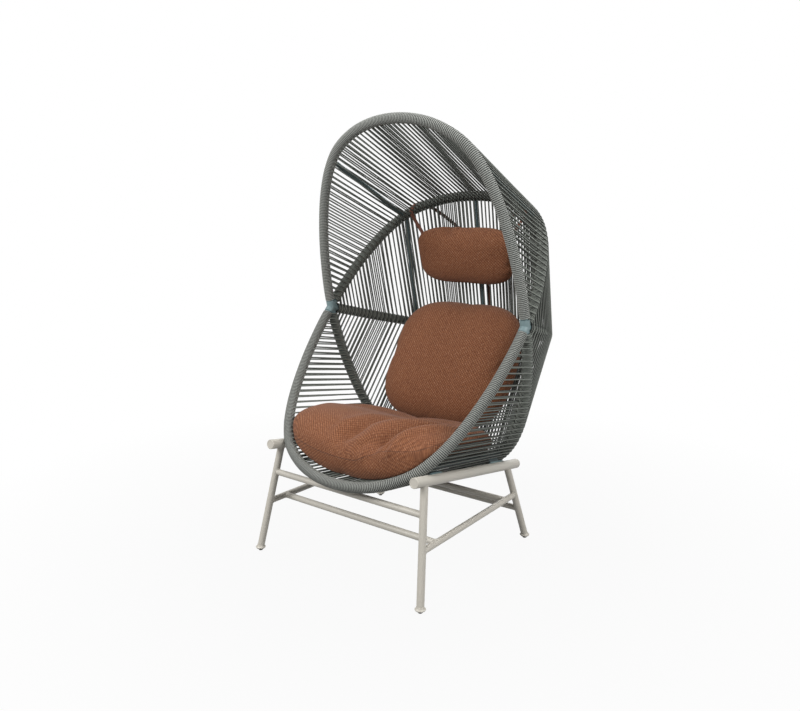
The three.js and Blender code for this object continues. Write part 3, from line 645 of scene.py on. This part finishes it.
for name, rim in (("upper_rim", upper_rim), ("lower_rim", lower_rim)):
    piece(f"{name}_bent_tube", hoop_tube(rim, rim_start), shell_paint, [f"{name}_tube"])
for name, rib in (("hood_rib", hood_rib), ("middle_rib", middle_rib), ("seat_rib", seat_rib)):
    piece(f"{name}_bent_tube", hoop_tube(rib, rib_start), shell_paint, [name])
both_sides("corner_knuckle", corner_fitting(), shell_paint, "corner_fitting")
both_sides("hood_brace", strut_at(hood_strut_x, upper_rim, hood_rib), shell_paint, "hood_strut")
both_sides("back_post", strut_at(upright_x, hood_rib, middle_rib), shell_paint, "back_upright")
piece("back_post_centre", strut(hood_rib, 0.5, middle_rib, 0.5), shell_paint, ["back_upright_centre"])
# The seat bearers take the shell paint darkened as painted shade
both_sides("seat_bearer", strut(lower_rim, lane_share, seat_rib, lane_share), shaded_bearer_paint, "seat_strut")


# Cord: whipped round the rims, and strung from hoop to hoop in an outer and an inner layer
def whipping(rim):
    """One helix of cord, close turn beside turn, from corner fitting to corner fitting."""
    start = (arm_length + cord_radius) / rim.length
    turns = int(rim.length * (1 - 2 * start) / whipping_pitch)
    steps = np.arange(turns * whipping_steps + 1)
    shares = start + (1 - 2 * start) * steps / steps[-1]
    angles = 2 * np.pi * steps[:, None] / whipping_steps
    tangent = rim.tangent(shares)
    plane_normal = np.cross([1, 0, 0], rim.direction)
    sideways = np.cross(plane_normal, tangent)
    centres = rim.at(shares) + winding_radius * (sideways * np.cos(angles) + plane_normal * np.sin(angles))
    return tube(centres, tangent, cord_radius, cord_sides)


side_shares = first_loop_share + side_loop_pitch * np.arange(side_loop_count)
middle_start = side_shares[-1] + side_loop_pitch * 0.9
middle_shares = np.linspace(middle_start, 1 - middle_start, middle_loop_count)
loop_shares = np.concatenate([side_shares, middle_shares, 1 - side_shares[::-1]])
loop_pitches = np.gradient(loop_shares)


def wrapped(hoop, other, share, start_side, turns, advance):
    """The cord's centres round a hoop, from one layer to the other, with whole turns in between."""
    angles = np.linspace(0, np.pi + 2 * np.pi * turns, half_turn_steps * (1 + 2 * turns) + 1)
    travel = (angles / (2 * np.pi) - (0.25 + turns / 2)) * advance
    point, tangent, to_other, outward = hoop_frames(hoop, other, share + travel)
    on_top = 1 - np.sin(np.linspace(0, np.pi, len(angles)))
    radius = (winding_radius + loop_lift * on_top)[:, None]
    centres = point + radius * (
        start_side * outward * np.cos(angles)[:, None] - to_other * np.sin(angles)[:, None]
    )
    return centres, tangent


def beside(hoop, other, share, side):
    point, tangent, to_other, outward = hoop_frames(hoop, other, share)
    return (point + side * winding_radius * outward)[None], tangent[None]


def strung(stops):
    centres, across = (np.concatenate([stop[part] for stop in stops]) for part in (0, 1))
    return tube(centres, across, cord_radius, cord_sides)


def turns_on_rib(pitch):
    """Turns that cover a rib from one loop to the next: the loops are wider apart at the sides."""
    return 4 if pitch > wide_pitch_share else 3


def back_strings(hoop_a, hoop_b):
    """One cord wound to and fro between two ribs, with a whole turn more at each rib."""
    stops = []
    for share, pitch in zip(loop_shares, loop_pitches):
        stops.append(wrapped(hoop_a, hoop_b, share, -1, 1, pitch / turns_on_rib(pitch)))
        stops.append(wrapped(hoop_b, hoop_a, share + pitch / 2, -1, 1, pitch / 3))
    return strung(stops)


def rim_strings(rim, rib, rib_shift):
    """The loops that leave a rim's whipping, wind round the next rib and come back."""
    loops = []
    for share, pitch in zip(loop_shares, loop_pitches):
        centre = share + rib_shift * pitch
        turns = turns_on_rib(pitch)
        loops.append(strung([
            beside(rim, rib, centre - pitch / 4, 1),
            wrapped(rib, rim, centre, -1, turns - 2, pitch / turns),
            beside(rim, rib, centre + pitch / 4, -1),
        ]))
    return joined(*loops)


def cord_nodes(panel):
    return [f"{panel}_cord_{place}_{side}" for place in ("side", "middle") for side in ("left", "right")]


piece("upper_rim_whipping", whipping(upper_rim), whipped_cord, crease_angle=180)
# The lower whipping takes the cord darkened as painted shade
piece("lower_rim_whipping", whipping(lower_rim), shaded_low_whipped_cord, crease_angle=180)
# The strings take the cord darkened as painted shade
for panel, strings in (
    ("hood", rim_strings(upper_rim, hood_rib, 0.5)), ("upper_back", back_strings(hood_rib, middle_rib)),
    ("lower_back", back_strings(middle_rib, seat_rib)), ("seat", rim_strings(lower_rim, seat_rib, 0.0)),
):
    piece(f"{panel}_strings", strings, shaded_strung_cord, cord_nodes(panel), crease_angle=180)


# Base
def rail_point_at_y(y):
    return rail_front.lerp(rail_rear, (y - rail_front.y) / (rail_rear.y - rail_front.y))


def leg_line(leg):
    """From the floor to the middle of the rail."""
    return Vector((*leg["foot"], 0)), rail_point_at_y(leg["top_y"])


def leg_point_at(leg, height):
    foot, top = leg_line(leg)
    return foot.lerp(top, height / top.z)


def weld(start, end, radius, other_start, other_end, other_radius):
    """A bead along the closed line where the tube from start to end enters the other tube."""
    start, end = np.array(start), np.array(end)
    other_start, other_axis = np.array(other_start), unit(np.array(other_end) - np.array(other_start))
    axis = unit(end - start)
    side = unit(np.cross(axis, other_axis))
    up = np.cross(axis, side)
    ring = []
    for angle in np.linspace(0, 2 * np.pi, 41):
        origin = start + radius * (side * math.cos(angle) + up * math.sin(angle)) - other_start
        flat_origin = origin - other_axis * np.dot(origin, other_axis)
        flat_axis = axis - other_axis * np.dot(axis, other_axis)
        a, b = np.dot(flat_axis, flat_axis), 2 * np.dot(flat_origin, flat_axis)
        c = np.dot(flat_origin, flat_origin) - other_radius ** 2
        travel = (-b - math.sqrt(max(b * b - 4 * a * c, 0))) / (2 * a)
        ring.append(origin + axis * travel + other_start)
    return tube(np.array(ring), axis, weld_bead, bead_sides, capped=False)


def straight_tube(start, end, radius):
    return tube(np.array([start, end]), unit(np.array(end) - np.array(start))[[1, 2, 0]], radius, 32)


rail_length = (rail_rear - rail_front).length
rail_profile = [
    (rail_radius - 0.0045, 0.0006), (rail_radius - 0.0040, 0), (rail_radius - 0.0012, 0), (rail_radius, 0.0014),
    (rail_radius, rail_length - 0.006), (rail_radius - 0.0018, rail_length - 0.0018),
    (rail_radius - 0.006, rail_length),
]
both_sides("base_rail", turned(rail_profile, rail_front, rail_rear, 48), base_paint, "rail")


def foot_line(leg):
    """Upwards from the floor through the middle of the leg's collar."""
    low = leg_point_at(leg, collar_rim_height)
    foot = Vector((low.x, low.y, 0))
    return foot, foot + Vector((0, 0, 1))


def leg_shape(leg):
    top = leg_line(leg)[1]
    return joined(
        straight_tube(leg_point_at(leg, collar_shoulder_height), top, leg_radius),
        turned(collar_profile, *foot_line(leg), 40),
        weld(leg_point_at(leg, collar_rim_height), top, leg_radius, rail_front, rail_rear, rail_radius),
    )


for place, leg in (("front", front_leg), ("back", back_leg)):
    both_sides(f"splayed_leg_{place}", leg_shape(leg), base_paint, f"leg_{place}")
    glide = turned(glide_profile, *foot_line(leg))
    for side, shape in (("left", glide), ("right", mirrored(glide))):
        node = f"glide_{place}_{side}"
        piece(f"screw_{node}", shape, glide_plastic, [node], body=node)


def crosswise(start, other_start, other_end, other_radius):
    """A tube from start to its mirror image, with a weld bead round both ends."""
    end = Vector((-start.x, start.y, start.z))
    bead = weld((0, start.y, start.z), start, stretcher_radius, other_start, other_end, other_radius)
    return joined(straight_tube(start, end, stretcher_radius), bead, mirrored(bead))


def side_stretcher():
    middle = side_start.lerp(side_end, 0.5)
    shapes = [straight_tube(side_start, side_end, stretcher_radius)]
    for end, leg in ((side_start, front_leg), (side_end, back_leg)):
        shapes.append(weld(middle, end, stretcher_radius, *leg_line(leg), leg_radius))
    return joined(*shapes)


side_start = leg_point_at(front_leg, side_stretcher_height)
side_end = leg_point_at(back_leg, side_stretcher_height)
for place, leg, height in (("front", front_leg, front_stretcher_height), ("back", back_leg, back_stretcher_height)):
    stretcher = crosswise(leg_point_at(leg, height), *leg_line(leg), leg_radius)
    piece(f"{place}_leg_stretcher", stretcher, base_paint, [f"{place}_stretcher"])
both_sides("long_side_stretcher", side_stretcher(), base_paint, "side_stretcher")
for place, share in (("front", front_cross_share), ("rear", rear_cross_share)):
    cross_bar = crosswise(side_start.lerp(side_end, share), side_start, side_end, stretcher_radius)
    piece(f"{place}_cross_bar", cross_bar, base_paint, [f"{place}_cross_tube"])


# Saddles on the rails, with a post up to the seat bearer over each
def bearer_point_at_y(y):
    start, end = Vector(lower_rim.at(lane_share)), Vector(seat_rib.at(lane_share))
    return start.lerp(end, (y - start.y) / (end.y - start.y))


def pad_shape(front_y, rear_y, stations, outline_of):
    """A solid along the rail; its outline is in the plane from the rail to the seat bearer over it."""
    start, end = rail_point_at_y(front_y), rail_point_at_y(rear_y)
    along = (end - start).normalized()
    rings = []
    for share, swell in stations:
        centre = start.lerp(end, share)
        up = bearer_point_at_y(centre.y) - centre
        up -= along * up.dot(along)
        height = up.length
        up.normalize()
        sideways = up.cross(along)
        rings.append([centre + sideways * x + up * y for x, y in outline_of(swell, height)])
    return lofted(np.array(rings))


def saddle_outline(swell, height):
    """Hollow where it sits on the rail, with a low rounded back."""
    width = saddle_half_width * (0.75 + 0.25 * swell)
    low, high = rail_radius * 0.80, rail_radius * (1.02 + 0.26 * swell)
    seat = [(rail_radius * math.sin(turn), rail_radius * math.cos(turn)) for turn in (-0.7, -0.35, 0, 0.35, 0.7)]
    side = [(width * out, low + (high - low) * up) for out, up in saddle_side_shares]
    return seat + side + [(-x, y) for x, y in side[::-1]]


def post_outline(swell, height):
    """From inside the saddle up to the seat bearer."""
    half, low, high = post_half_thickness * swell, rail_radius * 1.1, height - post_sink
    return [(half, low), (half, high), (-half, high), (-half, low)]


for place, span in (("front", front_saddle_y), ("rear", rear_saddle_y)):
    saddle = pad_shape(*span, saddle_station_shares, saddle_outline)
    both_sides(f"{place}_saddle", saddle, shell_paint, f"{place}_saddle_pad")
    # The saddle posts take the shell paint darkened as painted shade
    both_sides(f"{place}_saddle_post", pad_shape(*span, post_station_shares, post_outline), shaded_bearer_paint)


# Cushions
def face_corners(net, turn=1):
    """What a net holds at the four corners of each of its faces."""
    corners = np.stack([net[:-1, :-1], net[:-1, 1:], net[1:, 1:], net[1:, :-1]], 2)
    return corners.reshape(-1, 4, *net.shape[2:])[:, ::turn]


def shell_surface():
    """The inner side of the strung shell, as one surface that the cushions lie against."""
    hoops = (upper_rim, hood_rib, middle_rib, seat_rib, lower_rim)
    shares = np.linspace(0.004, 0.996, 121)
    between = np.linspace(0, 1, 9)[:, None, None]
    points, faces = [], []
    for hoop_a, hoop_b in zip(hoops, hoops[1:]):
        near, _, _, out_near = hoop_frames(hoop_a, hoop_b, shares)
        far, _, _, out_far = hoop_frames(hoop_b, hoop_a, shares)
        near, far = near - out_near * layer_depth, far + out_far * layer_depth
        strip = near + (far - near) * between
        numbers = len(points) + np.arange(strip[..., 0].size).reshape(strip.shape[:2])
        points += strip.reshape(-1, 3).tolist()
        faces += face_corners(numbers).tolist()
    return BVHTree.FromPolygons(points, faces)


shell = shell_surface()


def cushion_axes(size):
    """The cushion's own directions: along its width, up its height, and out of its front."""
    lean = math.radians(size["lean"])
    return Vector((1, 0, 0)), Vector((0, math.sin(lean), math.cos(lean))), Vector((0, -math.cos(lean), math.sin(lean)))


def cushion_middle(size):
    return np.array(size["place"]) + [0, frame_shift, 0]


def own_places(points, size):
    """Points by the cushion's own directions, from its middle."""
    return (points - cushion_middle(size)) @ np.array(cushion_axes(size)).T


def cushion_shape(size):
    """Two crowned faces on one square net, drawn in between the corners and bowed with the shell."""
    across = int(size["width"] / net_step / 2) * 2
    upward = int(size["height"] / net_step / 2) * 2
    columns, rows = np.meshgrid(np.linspace(-1, 1, across + 1), np.linspace(-1, 1, upward + 1))
    share = np.maximum(abs(columns), abs(rows))
    angle = np.arctan2(rows, columns)
    along, up = np.cos(angle), np.sin(angle)
    power = size["corner_power"]
    edge = (abs(along) ** power + abs(up) ** power) ** (-1 / power)
    edge = edge * (1 - size["draw_share"] * np.cos(2 * angle) ** 2)
    even_share = np.sin(share * math.pi / 2) ** 0.85
    y = up * edge * even_share * size["height"] / 2
    x = along * edge * even_share * size["width"] / 2 * (1 + size["taper"] * 2 * y / size["height"])
    rise = np.maximum(1 - even_share ** size["fullness"], 0)
    bowed = size["bow"] * (2 * x / size["width"]) ** 2
    return x, y, rise, bowed


def cushion_net(size):
    """Points of both faces before they are filled, their steps from the seam, and the front and back nets."""
    x, y, rise, bowed = cushion_shape(size)
    width_axis, up_axis, front_axis = (np.array(axis) for axis in cushion_axes(size))
    front_net = np.arange(x.size).reshape(x.shape)
    back_net = front_net.copy()
    back_net[1:-1, 1:-1] = x.size + np.arange(back_net[1:-1, 1:-1].size).reshape(back_net[1:-1, 1:-1].shape)
    points = np.zeros((back_net.max() + 1, 3))
    for depth, roundness, net in ((-size["back"], size["back_roundness"], back_net), (size["front"], 2, front_net)):
        out = (bowed + depth * rise ** (1 / roundness))[..., None] * front_axis
        points[net] = cushion_middle(size) + x[..., None] * width_axis + y[..., None] * up_axis + out
    rows, columns = np.indices(x.shape)
    from_seam = np.zeros(len(points))
    from_seam[front_net] = from_seam[back_net] = np.min([rows, rows[::-1], columns, columns[:, ::-1]], 0)
    return points, from_seam, ((front_net, 1), (back_net, -1))


def filled(points, faces, from_seam, size):
    """The cover pushed out by its filling: a cloth simulation whose cloth is loose beside the seam."""
    mesh = bpy.data.meshes.new("cover_being_filled")
    mesh.from_pydata(points.tolist(), [], faces)
    cover = bpy.data.objects.new("cover_being_filled", mesh)
    bpy.context.scene.collection.objects.link(cover)
    loose = cover.vertex_groups.new(name="loose cloth")
    for steps in range(int(from_seam.max()) + 1):
        loose.add(np.flatnonzero(from_seam == steps).tolist(), min(steps / loose_steps, 1), "REPLACE")
    cloth = cover.modifiers.new("cloth", "CLOTH")
    for key, value in cloth_settings.items():
        setattr(cloth.settings, key, value)
    cloth.settings.vertex_group_shrink = loose.name
    cloth.settings.effector_weights.gravity = 0
    cloth.collision_settings.use_collision = False
    for step in range(filling_frames):
        bpy.context.scene.frame_set(step + 1)
    settled = cover.evaluated_get(bpy.context.evaluated_depsgraph_get()).to_mesh()
    result = np.zeros(len(points) * 3)
    settled.vertices.foreach_get("co", result)
    bpy.data.objects.remove(cover)
    bpy.context.scene.frame_set(1)
    moved = result.reshape(-1, 3) - points
    distance = np.linalg.norm(moved, axis=1, keepdims=True)
    return points + moved * np.minimum(1, size["cap"] / np.maximum(distance, 1e-9))


def resting_on_shell(points):
    """Points that would be in the strung shell or beyond it lie on its inner side."""
    pod_middle = Vector((0, 0, corner_height))
    for number, point in enumerate(points):
        point = Vector(point)
        nearest, normal, _, _ = shell.find_nearest(point)
        if normal.dot(pod_middle - nearest) < 0:
            normal = -normal
        if (point - nearest).dot(normal) < shell_clearance:
            points[number] = nearest + normal * shell_clearance
    return points


def clear_of(points, other_form):
    """Moves the points that are inside another cushion out to its surface."""
    tree = BVHTree.FromPolygons(other_form[0].tolist(), other_form[1])
    for number, point in enumerate(points):
        nearest, normal, _, _ = tree.find_nearest(Vector(point))
        away = Vector(point) - nearest
        if away.dot(normal) < cushion_gap and away.length < cushion_reach:
            points[number] = nearest + normal * cushion_gap
    return points


def outward(points, faces):
    """The cover's normals at its points."""
    corners = points[np.array(faces)]
    across = np.cross(corners[:, 2] - corners[:, 0], corners[:, 3] - corners[:, 1])
    normals = np.zeros_like(points)
    for corner in range(4):
        np.add.at(normals, np.array(faces)[:, corner], across)
    return unit(normals)


def pressed(points, faces, size):
    """Creases: lines near the cover in the cushion's own directions, with their depth and half width."""
    own = own_places(points, size)
    dent = np.zeros(len(points))
    for line, depth, half_width in size["creases"]:
        line = np.array(line)
        nearest = np.full(len(own), np.inf)
        fade = np.zeros(len(own))
        for number, (start, end) in enumerate(zip(line, line[1:])):
            along = np.clip((own - start) @ (end - start) / np.dot(end - start, end - start), 0, 1)
            distance = np.linalg.norm(own - start - along[:, None] * (end - start), axis=1)
            travel = (number + along) / (len(line) - 1)
            closer = distance < nearest
            fade[closer] = np.minimum(1, 4 * np.minimum(travel, 1 - travel) + 0.25)[closer]
            nearest = np.minimum(nearest, distance)
        share = nearest / half_width
        dent += depth * fade * (np.exp(-share ** 2 * 2) - 0.3 * np.exp(-(share - 1.9) ** 2 * 2))
    return points - outward(points, faces) * dent[:, None]


def surface_travel(net_points, axis):
    """How far each point of a net is from the net's first side, measured over the surface."""
    steps = np.linalg.norm(np.diff(net_points, axis=axis), axis=-1)
    return np.concatenate([np.zeros_like(steps.take([0], axis)), np.cumsum(steps, axis)], axis)


def cushion_form(points, nets):
    """The cover as a shape; its places are how far each corner is from the middle of its face."""
    faces, places = [], []
    for net, turn in nets:
        travels = [surface_travel(points[net], axis) for axis in (1, 0)]
        cloth = [travels[0] - travels[0][:, [net.shape[1] // 2]], travels[1] - travels[1][[net.shape[0] // 2]]]
        faces += face_corners(net, turn).tolist()
        places += face_corners(np.stack(cloth, -1), turn).reshape(-1, 2).tolist()
    return points, faces, places


def seam_places(points, nets, size):
    """For the corners of all faces: the distance from the cover's seam, and the travel along it."""
    own = own_places(points, size)
    offset = np.interp(own[:, 0], *np.array(size["seam_offsets"]).T)
    round_middle = np.arctan2(own[:, 1], own[:, 0] * size["height"] / size["width"])
    reach = (size["width"] + size["height"]) / 4
    places = []
    for net, turn in nets:
        sides = []
        for axis in (0, 1):
            travel = surface_travel(points[net], axis)
            sides += [travel, travel.take([-1], axis) - travel]
        distance = face_corners(np.min(sides, 0) * turn - offset[net], turn)
        turns = face_corners(round_middle[net], turn)
        split = np.ptp(turns, axis=1, keepdims=True) > math.pi
        turns = np.where(split & (turns < 0), turns + 2 * math.pi, turns)
        places.append(np.stack([distance, turns * reach], -1))
    return np.concatenate(places)


def cushion_cover(name, size, below=None):
    size = {**plain_cushion, **size}
    points, from_seam, nets = cushion_net(size)
    faces = cushion_form(points, nets)[1]
    points = filled(points, faces, from_seam, size)
    points = resting_on_shell(pressed(points, faces, size))
    if below:
        points = clear_of(points, below)
    form = cushion_form(points, nets)
    made = piece(f"{name}_cover", form, cushion_cloth, [name], crease_angle=180)
    layer = made.data.uv_layers.new(name="seam")
    layer.data.foreach_set("uv", seam_places(points, nets, size).astype(np.float32).reshape(-1))
    soft = made.modifiers.new("smooth cover", "SUBSURF")
    soft.levels = soft.render_levels = 1
    return form


seat_form = cushion_cover("seat_cushion", seat_cushion)
back_form = cushion_cover("back_cushion", back_cushion, seat_form)
cushion_cover("head_pillow", head_pillow, back_form)


# Straps: from the pillow's top corners slanting over the hood rib, then down the outside to two tails
def outside_upper_back(share, down_share):
    point, _, _, out = hoop_frames(hood_rib, middle_rib, share)
    down = (middle_rib.at(share) - point) * down_share
    return point + down + out * (layer_depth + strap_thickness), out


def pillow_strap(pillow_x, tail):
    pillow_end = cushion_middle(head_pillow) + np.array(cushion_axes(head_pillow)[1]) * strap_pillow_height
    pillow_end[0] = pillow_x - strap_pillow_x
    stops = [(pillow_end, -hoop_frames(hood_rib, middle_rib, lane_share)[3])]
    for travel in np.linspace(0, 1, 9):
        turn = math.pi * travel
        point, _, to_other, out = hoop_frames(hood_rib, middle_rib, lane_share + strap_turn_share * travel)
        face_out = -out * math.cos(turn) - to_other * math.sin(turn)
        stops.append((point + face_out * (layer_depth + strap_thickness), face_out))
    leave_share = lane_share + strap_turn_share
    tail_share = 0.5 - tail["aside"] / hood_rib.length
    for travel in (0.25, 0.5, 0.75, 1):
        share = leave_share + (tail_share - leave_share) * travel
        stops.append(outside_upper_back(share, strap_meet_share * travel))
    stops.append(outside_upper_back(tail_share, tail["down_share"]))
    centres, faces_out = zip(*stops)
    return tape(rounded_line(centres, 6), np.array(faces_out))


def tape(centres, faces_out):
    """A flat woven tape with rounded edges along a line, its outer face turned by faces_out."""
    ends = np.linspace(0, len(faces_out) - 1, len(centres))
    faces_out = np.stack([np.interp(ends, range(len(faces_out)), faces_out[:, axis]) for axis in range(3)], -1)
    direction = unit(np.gradient(centres, axis=0))
    across = unit(np.cross(direction, faces_out))
    faces_out = np.cross(across, direction)
    half, thick = strap_width / 2, strap_thickness / 2
    outline = [(half * x, thick * y) for x, y in strap_outline_shares]
    return lofted(np.stack([centres + across * x + faces_out * y for x, y in outline], 1))


left_strap = pillow_strap(head_pillow["place"][0], left_tail)
right_strap = mirrored(pillow_strap(-head_pillow["place"][0], right_tail))
piece("head_strap_left", left_strap, strap_cloth, ["pillow_strap_left"])
piece("head_strap_right", right_strap, strap_cloth, ["pillow_strap_right"])


# Studio
def seen_directly(nodes):
    """1 for rays of the camera, of reflections and through clear things, and 0 for light on the object."""
    rays = nodes.add("ShaderNodeLightPath").outputs
    seen = nodes.math("MAXIMUM", rays["Is Camera Ray"], rays["Is Glossy Ray"])
    return nodes.math("MAXIMUM", seen, rays["Is Transmission Ray"])


def studio_floor():
    """A pale floor that is seen nearly white, and a little darker near the object."""
    mesh = bpy.data.meshes.new("studio_floor")
    corners = [(-1, -1), (1, -1), (1, 1), (-1, 1)]
    mesh.from_pydata([(x * floor_half, y * floor_half, 0) for x, y in corners], [], [(0, 1, 2, 3)])
    floor = bpy.data.objects.new("studio_floor", mesh)
    bpy.context.scene.collection.objects.link(floor)
    material, nodes, shader = finish_of("pale floor", 0.9)
    shader.inputs["Base Color"].default_value = floor_shade
    glow = nodes.add("ShaderNodeEmission", Strength=1.0)
    place = nodes.object_place()
    distance = nodes.add("ShaderNodeVectorMath", {"operation": "LENGTH"}, i0=place).outputs["Value"]
    far = nodes.ramp(distance, From_Min=0.7, From_Max=2.0, To_Min=0.94, To_Max=1.0)
    share = nodes.math("MULTIPLY", seen_directly(nodes), far)
    mixed = nodes.add("ShaderNodeMixShader", i0=share, i1=shader.outputs[0], i2=glow.outputs[0])
    nodes.feed(material.node_tree.nodes["Material Output"].inputs["Surface"], mixed.outputs[0])
    mesh.materials.append(material)


def studio_world():
    """White where it is seen, and weaker as light on the object."""
    world = bpy.data.worlds.new("studio")
    world.use_nodes = True
    bpy.context.scene.world = world
    nodes = Nodes(world.node_tree)
    background = world.node_tree.nodes["Background"]
    background.inputs["Color"].default_value = (1, 1, 1, 1)
    strength = nodes.math("MULTIPLY_ADD", seen_directly(nodes), 1 - world_light, world_light)
    nodes.feed(background.inputs["Strength"], strength)


def soft_light(name, place, size, power):
    data = bpy.data.lights.new(name, "AREA")
    data.shape = "DISK"
    data.size = size
    data.energy = power
    lamp = bpy.data.objects.new(name, data)
    lamp.location = place
    lamp.rotation_euler = (Vector(light_aim) - Vector(place)).to_track_quat("-Z", "Y").to_euler()
    bpy.context.scene.collection.objects.link(lamp)


studio_floor()
studio_world()
soft_light("key_light", (-1.3, -3.2, 2.7), 2.0, 125)
soft_light("top_light", (0.6, 0.1, 4.4), 2.6, 75)
soft_light("back_light", (-0.6, 3.4, 2.4), 2.6, 55)
soft_light("side_light", (3.4, -0.4, 2.3), 2.5, 80)

camera = bpy.data.objects.new("camera", bpy.data.cameras.new("camera"))
bpy.context.scene.collection.objects.link(camera)
camera.location = camera_place
camera.rotation_euler = (math.radians(90 - camera_down), 0, math.radians(camera_round))
camera.data.lens = camera_lens
camera.data.sensor_width = 36
camera.data.sensor_fit = "HORIZONTAL"
bpy.context.scene.camera = camera
bpy.context.scene.view_settings.view_transform = "Standard"
